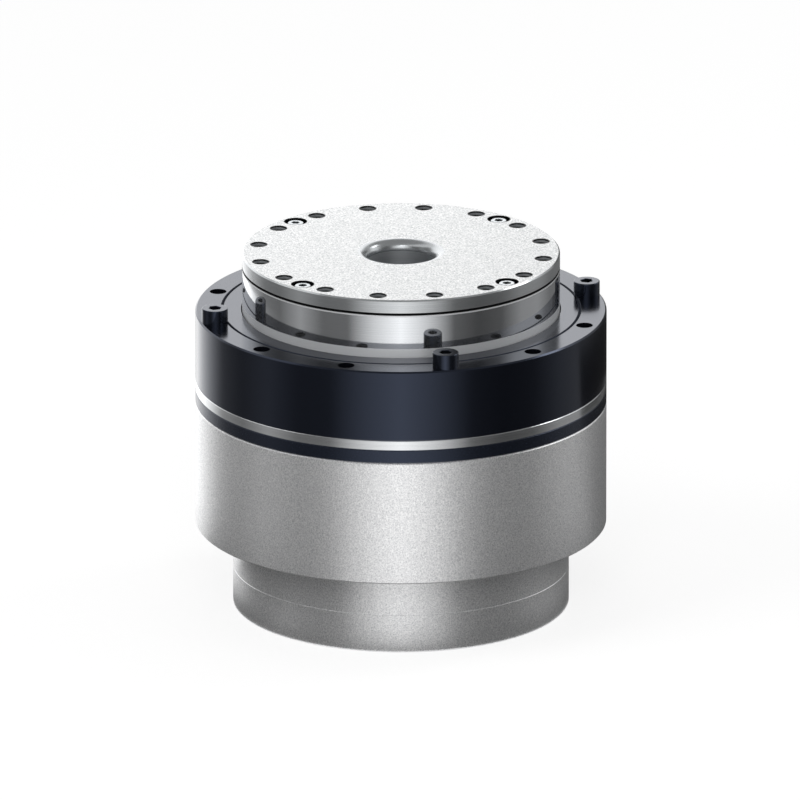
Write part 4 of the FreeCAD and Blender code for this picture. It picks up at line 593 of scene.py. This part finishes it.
# Flange screws
# Four M2.5 cap screws hold the disc on the hub. They are zinc plated and sit in wide counterbores
# just under the face.
FLANGE_SCREW_HEAD = 2.5 * MM
FLANGE_SCREW_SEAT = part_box("flange_screws")[1][2] - FLANGE_SCREW_HEAD

zinc_plate = turned_metal("zinc_plate", "#abafb2", "#c0c4c7", 0.2, 0.32, 0.3 * MM, 0.004 * MM)
flange_screw = cap_screw(
    head=4.5 * MM, height=FLANGE_SCREW_HEAD, shank=2.5 * MM, length=9 * MM, key=2 * MM, rounding=0.4 * MM)
flange_screw.data.materials.append(zinc_plate)
for copy in copy_round(
        flange_screw, "flange_screw", FLANGE_SCREW_COUNT, TAP_CIRCLE, FLANGE_SCREW_SEAT,
        FLANGE_SCREW_START, twist=11):
    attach(copy, "output")
    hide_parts("flange_screws")
dress(zinc_plate, "brake_springs")

# Electronics
# Two round boards stack in the rear: the encoder board reads a magnet ring on the shaft and one on
# the cable tube, and the drive board carries the power stage and the two connectors.
solder_mask = grained(
    "green_solder_mask", {"IOR": 1.5, "Coat Weight": 0.4}, "#0c3a22", "#14522f", 0.3, 0.4, 1.2 * MM)
dress(solder_mask, "encoder_board", "drive_board")
dress(zinc_plate, "board_screws", "board_standoffs")

moulded_epoxy = moulded_plastic("moulded_epoxy", "#1b1b1d", "#232325", 0.5, 0.65, 0.3 * MM)
dress(moulded_epoxy, "encoder_sensors", "drive_components")
silicone_pad = moulded_plastic("soft_silicone_pad", "#8f9aa3", "#a3adb5", 0.6, 0.75, 0.8 * MM)
dress(silicone_pad, "thermal_pads")
glass_filled_nylon = moulded_plastic("glass_filled_nylon", "#161617", "#202022", 0.42, 0.55, 0.4 * MM)
dress(glass_filled_nylon, "power_connector", "signal_connector")

# Gold flash over nickel on the contact pins: warm and bright, with fine drawing lines of 0.1 mm.
gold_flash = turned_metal("gold_plated_brass", "#e0b35a", "#f0c56e", 0.2, 0.3, 0.1 * MM, 0.002 * MM)
dress(gold_flash, "connector_pins")

# Rear cover
# The narrow cap closes the rear. It is blasted aluminium like the housing, with two openings for
# the connectors, and a plastic bush in it guides the end of the cable tube.
dress(blasted_aluminium, "rear_cover")
acetal = moulded_plastic("acetal", "#2b2b2c", "#353536", 0.35, 0.45, 0.5 * MM)
dress(acetal, "tube_bush")

# Rear cover screws
# Six M2.5 cap screws in black oxide, sunk deep into the cover with their heads to the rear.
COVER_SCREW_SEAT = 6 * MM
COVER_SCREW_CIRCLE = 41.6 * MM
COVER_SCREW_COUNT = 6

cover_screw = cap_screw(
    head=4.2 * MM, height=2.2 * MM, shank=2.5 * MM, length=9.5 * MM, key=2.1 * MM, rounding=0.2 * MM)
cover_screw.data.materials.append(black_oxide)
for copy in copy_round(
        cover_screw, "rear_cover_screw", COVER_SCREW_COUNT, COVER_SCREW_CIRCLE, COVER_SCREW_SEAT,
        twist=13, over=True):
    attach(copy, "housing")
    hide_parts("rear_cover_screws")

# Floor and light
# A pale table in a white room. The room lights matt surfaces at a plain level, and metal sees it
# as white, with grey graded cards round the unit that give it its dark and bright bands.
CAMERA_AZIMUTH = -13.4
CAMERA_ELEVATION = 18.2
ROOM_LIGHT = 0.55
FLOOR_SIZE = 8
FLOOR_DROP = 0.1 * MM
FLOOR_GLOW = 0.73


def seen_rays(tree):
    """1 for camera, glossy and transmission rays, which see the background itself."""
    path = add_node(tree, "ShaderNodeLightPath").outputs
    mirrored = work_out(tree, "MAXIMUM", path["Is Glossy Ray"], path["Is Transmission Ray"])
    return work_out(tree, "MAXIMUM", path["Is Camera Ray"], mirrored)


def bare_material(name):
    """A new material with no surface yet, and its node tree."""
    material = bpy.data.materials.new(name)
    material.use_nodes = True
    tree = material.node_tree
    tree.nodes.remove(tree.nodes["Principled BSDF"])
    return material, tree


def set_surface(tree, surface):
    """Makes a shader's output the surface of its material."""
    tree.links.new(surface, tree.nodes["Material Output"].inputs["Surface"])


def toward(angle, lift=0.0):
    """The direction at an angle round from the camera's side, raised by a height angle."""
    turn = math.radians(CAMERA_AZIMUTH + angle)
    flat = math.cos(math.radians(lift))
    return Vector((math.sin(turn) * flat, -math.cos(turn) * flat, math.sin(math.radians(lift))))


room = bpy.data.worlds.new("white_room")
room.use_nodes = True
bpy.context.scene.world = room
walls = room.node_tree.nodes["Background"]
walls.inputs["Color"].default_value = linear("#ffffff")
level = spread(room.node_tree, seen_rays(room.node_tree), ROOM_LIGHT, 1.0)
room.node_tree.links.new(level, walls.inputs["Strength"])

bpy.ops.object.select_all(action="DESELECT")
bpy.ops.mesh.primitive_plane_add(size=FLOOR_SIZE, location=(0, 0, -FLOOR_DROP))
floor = bpy.context.object
floor.name = "floor"
table_top, tree = bare_material("pale_table")
matt = add_node(tree, "ShaderNodeBsdfDiffuse", sockets={"Color": linear("#a0a0a0")})
glow = add_node(tree, "ShaderNodeEmission", sockets={
    "Strength": spread(tree, seen_rays(tree), 0.0, FLOOR_GLOW)})
lit = add_node(tree, "ShaderNodeAddShader", sockets={
    0: matt.outputs["BSDF"], 1: glow.outputs["Emission"]})
set_surface(tree, lit.outputs["Shader"])
floor.data.materials.append(table_top)

# The graded cards: a flat ring round the foot and an upright one outside it, seen by metal only. Their
# shade is given by the direction in which the round wall of the unit mirrors them: from behind on the
# left, past the camera's side at 0, to behind on the right. Towards the foot of the unit it fades, with a
# dip round the collar: a painted shadow of the unit on the card, which its metal mirrors. White is 1, and
# the lit sheet behind the unit is brighter. A shade stands with its angle in degrees, and at the foot
# with its distance from the axis in millimetres.
FLOOR_SHADES = (
    (-180, 0.15), (-171, 1.2), (-162, 1.85), (-155, 1.8), (-140, 1.25), (-120, 0.26), (-100, 0.146),
    (-80, 0.35), (-60, 0.13), (-40, 0.14), (-20, 0.8), (0, 1.3), (20, 0.74), (40, 0.11), (60, 0.05),
    (80, 0.08), (100, 0.27), (120, 0.30), (140, 0.16), (180, 0.15))
WALL_SHADES = (
    (-180, 1.85), (-155, 1.85), (-140, 1.5), (-120, 0.3), (-100, 0.15), (-80, 0.3), (-60, 0.1),
    (-40, 0.14), (-20, 1.1), (0, 1.8), (20, 1.1), (40, 0.11), (60, 0.06), (78, 0.3), (92, 1.1),
    (100, 1.25), (118, 1.25), (130, 0.6), (140, 0.4), (160, 0.5), (172, 1.85), (180, 1.85))
RIM_SHADES = (
    (-180, 1.6), (-168, 1.35), (-160, 1.15), (-150, 0.85), (-140, 0.45), (-120, 0.17), (-100, 0.13))
BRIGHTEST = 1.85
FOOT_SHADOW_SHADES = (
    (45, 0.1), (48, 0.18), (55, 0.5), (70, 0.87), (84, 0.8), (94, 0.7), (104, 0.8), (125, 1.0))

# The unit's wall stands off its axis, so it mirrors a near place further round than a far one.
WALL_RADIUS = 50 * MM
WALL_SWING = 0.62

CARD_SIDES = 180
CARD_INSIDE = 45.5 * MM
CARD_OUTSIDE = 480 * MM
CARD_LIFT = 0.2 * MM
UPPER_CARD_LIFT = 0.4 * MM
WALL_HEIGHT = 420 * MM
CEILING_SHADE = 0.3
CEILING_SIDE = 75
CEILING_SHIFT = 420 * MM
CEILING_HEIGHT = 900 * MM
CEILING_RADIUS = 1000 * MM
CEILING_SIDES = 64
RIM_INSIDE = 300 * MM
RIM_ENDS = (-180, -93)

# Dark cards on the floor card: name, inner and outer radius in millimetres, and the two angles. The two
# collar cards are a painted shadow of the housing's step, which the collar mirrors.
DARK_SECTORS = (
    ("housing_shade", 85, 202, 110, 168), ("ring_shade", 210, 276, 110, 168),
    ("collar_shadow_left", 66, 110, -108, -26), ("collar_shadow_right", 72, 110, 26, 125))
DARK_SHADE = 0.02

# Dark cards at the foot of the wall card: name, height in millimetres, and the two angles.
LOW_CARDS = (("low_card", 235, 140, 172), ("sill_card", 150, 172, 180))
LOW_SHADE = 0.1
LOW_GAP = 5 * MM


def shade_ramp(tree, factor, stops):
    """A grey ramp through stops of place and shade, the places from 0 to 1."""
    ramp = add_node(tree, "ShaderNodeValToRGB", sockets={"Fac": factor})
    while len(ramp.color_ramp.elements) < len(stops):
        ramp.color_ramp.elements.new(0.5)
    for stop, (position, shade) in zip(ramp.color_ramp.elements, stops):
        stop.position = position
        stop.color = (shade, shade, shade, 1.0)
    return ramp.outputs["Color"]


def for_metal_only(card, material):
    """Dresses a card that only glossy rays see."""
    card.data.materials.append(material)
    card.visible_camera = False
    card.visible_diffuse = False
    card.visible_shadow = False
    card.visible_transmission = False


def card_paint(name, shades):
    """A card that glows in bands by the direction in which the unit mirrors it."""
    material, tree = bare_material(name)
    facing = add_node(tree, "ShaderNodeMapping", sockets={
        "Vector": object_place(tree), "Rotation": (0, 0, math.radians(90 - CAMERA_AZIMUTH))})
    radius, axes = from_axis(tree, facing.outputs["Vector"])
    turn = work_out(tree, "ARCTAN2", axes["Y"], axes["X"])
    swing = work_out(tree, "SINE", work_out(tree, "MULTIPLY", turn, WALL_SWING))
    reach = work_out(tree, "DIVIDE", WALL_RADIUS, radius)
    mirrored = work_out(tree, "MULTIPLY_ADD", swing, reach, turn)
    bands = shade_ramp(
        tree, rise(tree, mirrored, -math.pi, math.pi),
        [((angle + 180) / 360, shade / BRIGHTEST) for angle, shade in shades])
    # The painted shadow of the unit near its foot, which its metal mirrors.
    first = FOOT_SHADOW_SHADES[0][0]
    last = FOOT_SHADOW_SHADES[-1][0]
    foot = shade_ramp(
        tree, rise(tree, radius, first * MM, last * MM),
        [((place - first) / (last - first), shade) for place, shade in FOOT_SHADOW_SHADES])
    glow = add_node(tree, "ShaderNodeEmission", sockets={
        "Color": bands, "Strength": spread(tree, foot, 0.0, BRIGHTEST)})
    set_surface(tree, glow.outputs["Emission"])
    return material


def plain_paint(name, shade):
    """A card that glows at one level."""
    material, tree = bare_material(name)
    glow = add_node(tree, "ShaderNodeEmission", sockets={"Strength": shade})
    set_surface(tree, glow.outputs["Emission"])
    return material


def flat_ring(name, inside, outside, height):
    """A flat ring round the foot of the unit."""
    bpy.ops.object.select_all(action="DESELECT")
    bpy.ops.mesh.primitive_circle_add(vertices=CARD_SIDES, radius=inside, fill_type="NOTHING")
    made = bpy.context.object
    made.name = name
    bpy.ops.object.mode_set(mode="EDIT")
    bpy.ops.mesh.select_mode(type="EDGE")
    bpy.ops.mesh.select_all(action="SELECT")
    bpy.ops.mesh.extrude_region_move()
    bpy.ops.transform.resize(value=[outside / inside] * 3)
    bpy.ops.mesh.select_all(action="SELECT")
    bpy.ops.transform.translate(value=(0, 0, height))
    bpy.ops.object.mode_set(mode="OBJECT")
    return made


def from_camera_side(spot):
    """The angle of a place round the joint axis, from the camera's side, left negative."""
    turn = math.degrees(math.atan2(spot.y, spot.x)) + 90 - CAMERA_AZIMUTH
    return (turn + 180) % 360 - 180


def upright_ring(name, radius, height):
    """An upright ring round the unit that stands on the floor."""
    bpy.ops.object.select_all(action="DESELECT")
    bpy.ops.mesh.primitive_cylinder_add(
        vertices=CARD_SIDES, radius=radius, depth=height, end_fill_type="NOTHING",
        location=(0, 0, height / 2))
    made = bpy.context.object
    made.name = name
    bpy.ops.object.transform_apply()
    return made


def keep_sector(card, first, last):
    """Drops the faces of a ring outside two angles from the camera's side."""
    bpy.ops.object.mode_set(mode="EDIT")
    pick(card, "FACE", lambda face: not first < from_camera_side(face.calc_center_median()) < last)
    bpy.ops.mesh.delete(type="FACE")
    bpy.ops.object.mode_set(mode="OBJECT")


floor_card = flat_ring("floor_card", CARD_INSIDE, CARD_OUTSIDE, CARD_LIFT)
for_metal_only(floor_card, card_paint("graded_floor", FLOOR_SHADES))
wall_card = upright_ring("wall_card", CARD_OUTSIDE, WALL_HEIGHT)
for_metal_only(wall_card, card_paint("graded_wall", WALL_SHADES))

rim_card = flat_ring("rim_card", RIM_INSIDE, CARD_OUTSIDE, UPPER_CARD_LIFT)
keep_sector(rim_card, *RIM_ENDS)
for_metal_only(rim_card, card_paint("graded_rim", RIM_SHADES))

for name, inside, outside, first, last in DARK_SECTORS:
    dark_card = flat_ring(name, inside * MM, outside * MM, UPPER_CARD_LIFT)
    keep_sector(dark_card, first, last)
    for_metal_only(dark_card, plain_paint(name, DARK_SHADE))

for name, height, first, last in LOW_CARDS:
    low_card = upright_ring(name, CARD_OUTSIDE - LOW_GAP, height * MM)
    keep_sector(low_card, first, last)
    for_metal_only(low_card, plain_paint(name, LOW_SHADE))

bpy.ops.object.select_all(action="DESELECT")
bpy.ops.mesh.primitive_circle_add(
    vertices=CEILING_SIDES, radius=CEILING_RADIUS, fill_type="NGON",
    location=toward(CEILING_SIDE) * CEILING_SHIFT + Vector((0, 0, CEILING_HEIGHT)))
ceiling = bpy.context.object
ceiling.name = "ceiling_card"
bpy.ops.object.transform_apply()
for_metal_only(ceiling, plain_paint("grey_ceiling", CEILING_SHADE))

# Soft boxes: name, angle from the camera's side, height angle, distance and size in metres, watts,
# and whether metal mirrors the box.
SOFT_BOXES = (
    ("front_box", 0, 34, 1.5, 0.6, 4.0, True),
    ("left_box", -62, 40, 1.5, 0.8, 5.0, False),
    ("right_strip", 113, 43, 0.95, 0.27, 0.9, True),
)
for name, angle, lift, distance, side, power, mirrored in SOFT_BOXES:
    lamp = bpy.data.lights.new(name, "AREA")
    lamp.size = side
    lamp.energy = power
    box = bpy.data.objects.new(name, lamp)
    box.visible_glossy = mirrored
    spot = toward(angle, lift)
    box.location = spot * distance
    box.rotation_euler = (-spot).to_track_quat("-Z", "Y").to_euler()
    bpy.context.scene.collection.objects.link(box)

# Camera
# A long lens from just left of the front, a little above. The frame is 214 mm wide at the axis.
LENS = 1500
SENSOR = 36
FRAME_WIDTH = 214.1 * MM
AIM = Vector((0, 0, 56.2 * MM))
PICTURE_WIDTH = 800
PIXEL_SHIFT = 1.0

back = toward(0, CAMERA_ELEVATION)
right = toward(90)
lens = bpy.data.cameras.new("camera")
lens.lens = LENS
lens.sensor_width = SENSOR
camera = bpy.data.objects.new("camera", lens)
side_step = PIXEL_SHIFT * FRAME_WIDTH / PICTURE_WIDTH
camera.location = AIM - right * side_step + back * (FRAME_WIDTH * LENS / SENSOR)
camera.rotation_euler = (-back).to_track_quat("-Z", "Y").to_euler()
bpy.context.scene.collection.objects.link(camera)
bpy.context.scene.camera = camera

bpy.context.scene.view_settings.view_transform = "Standard"
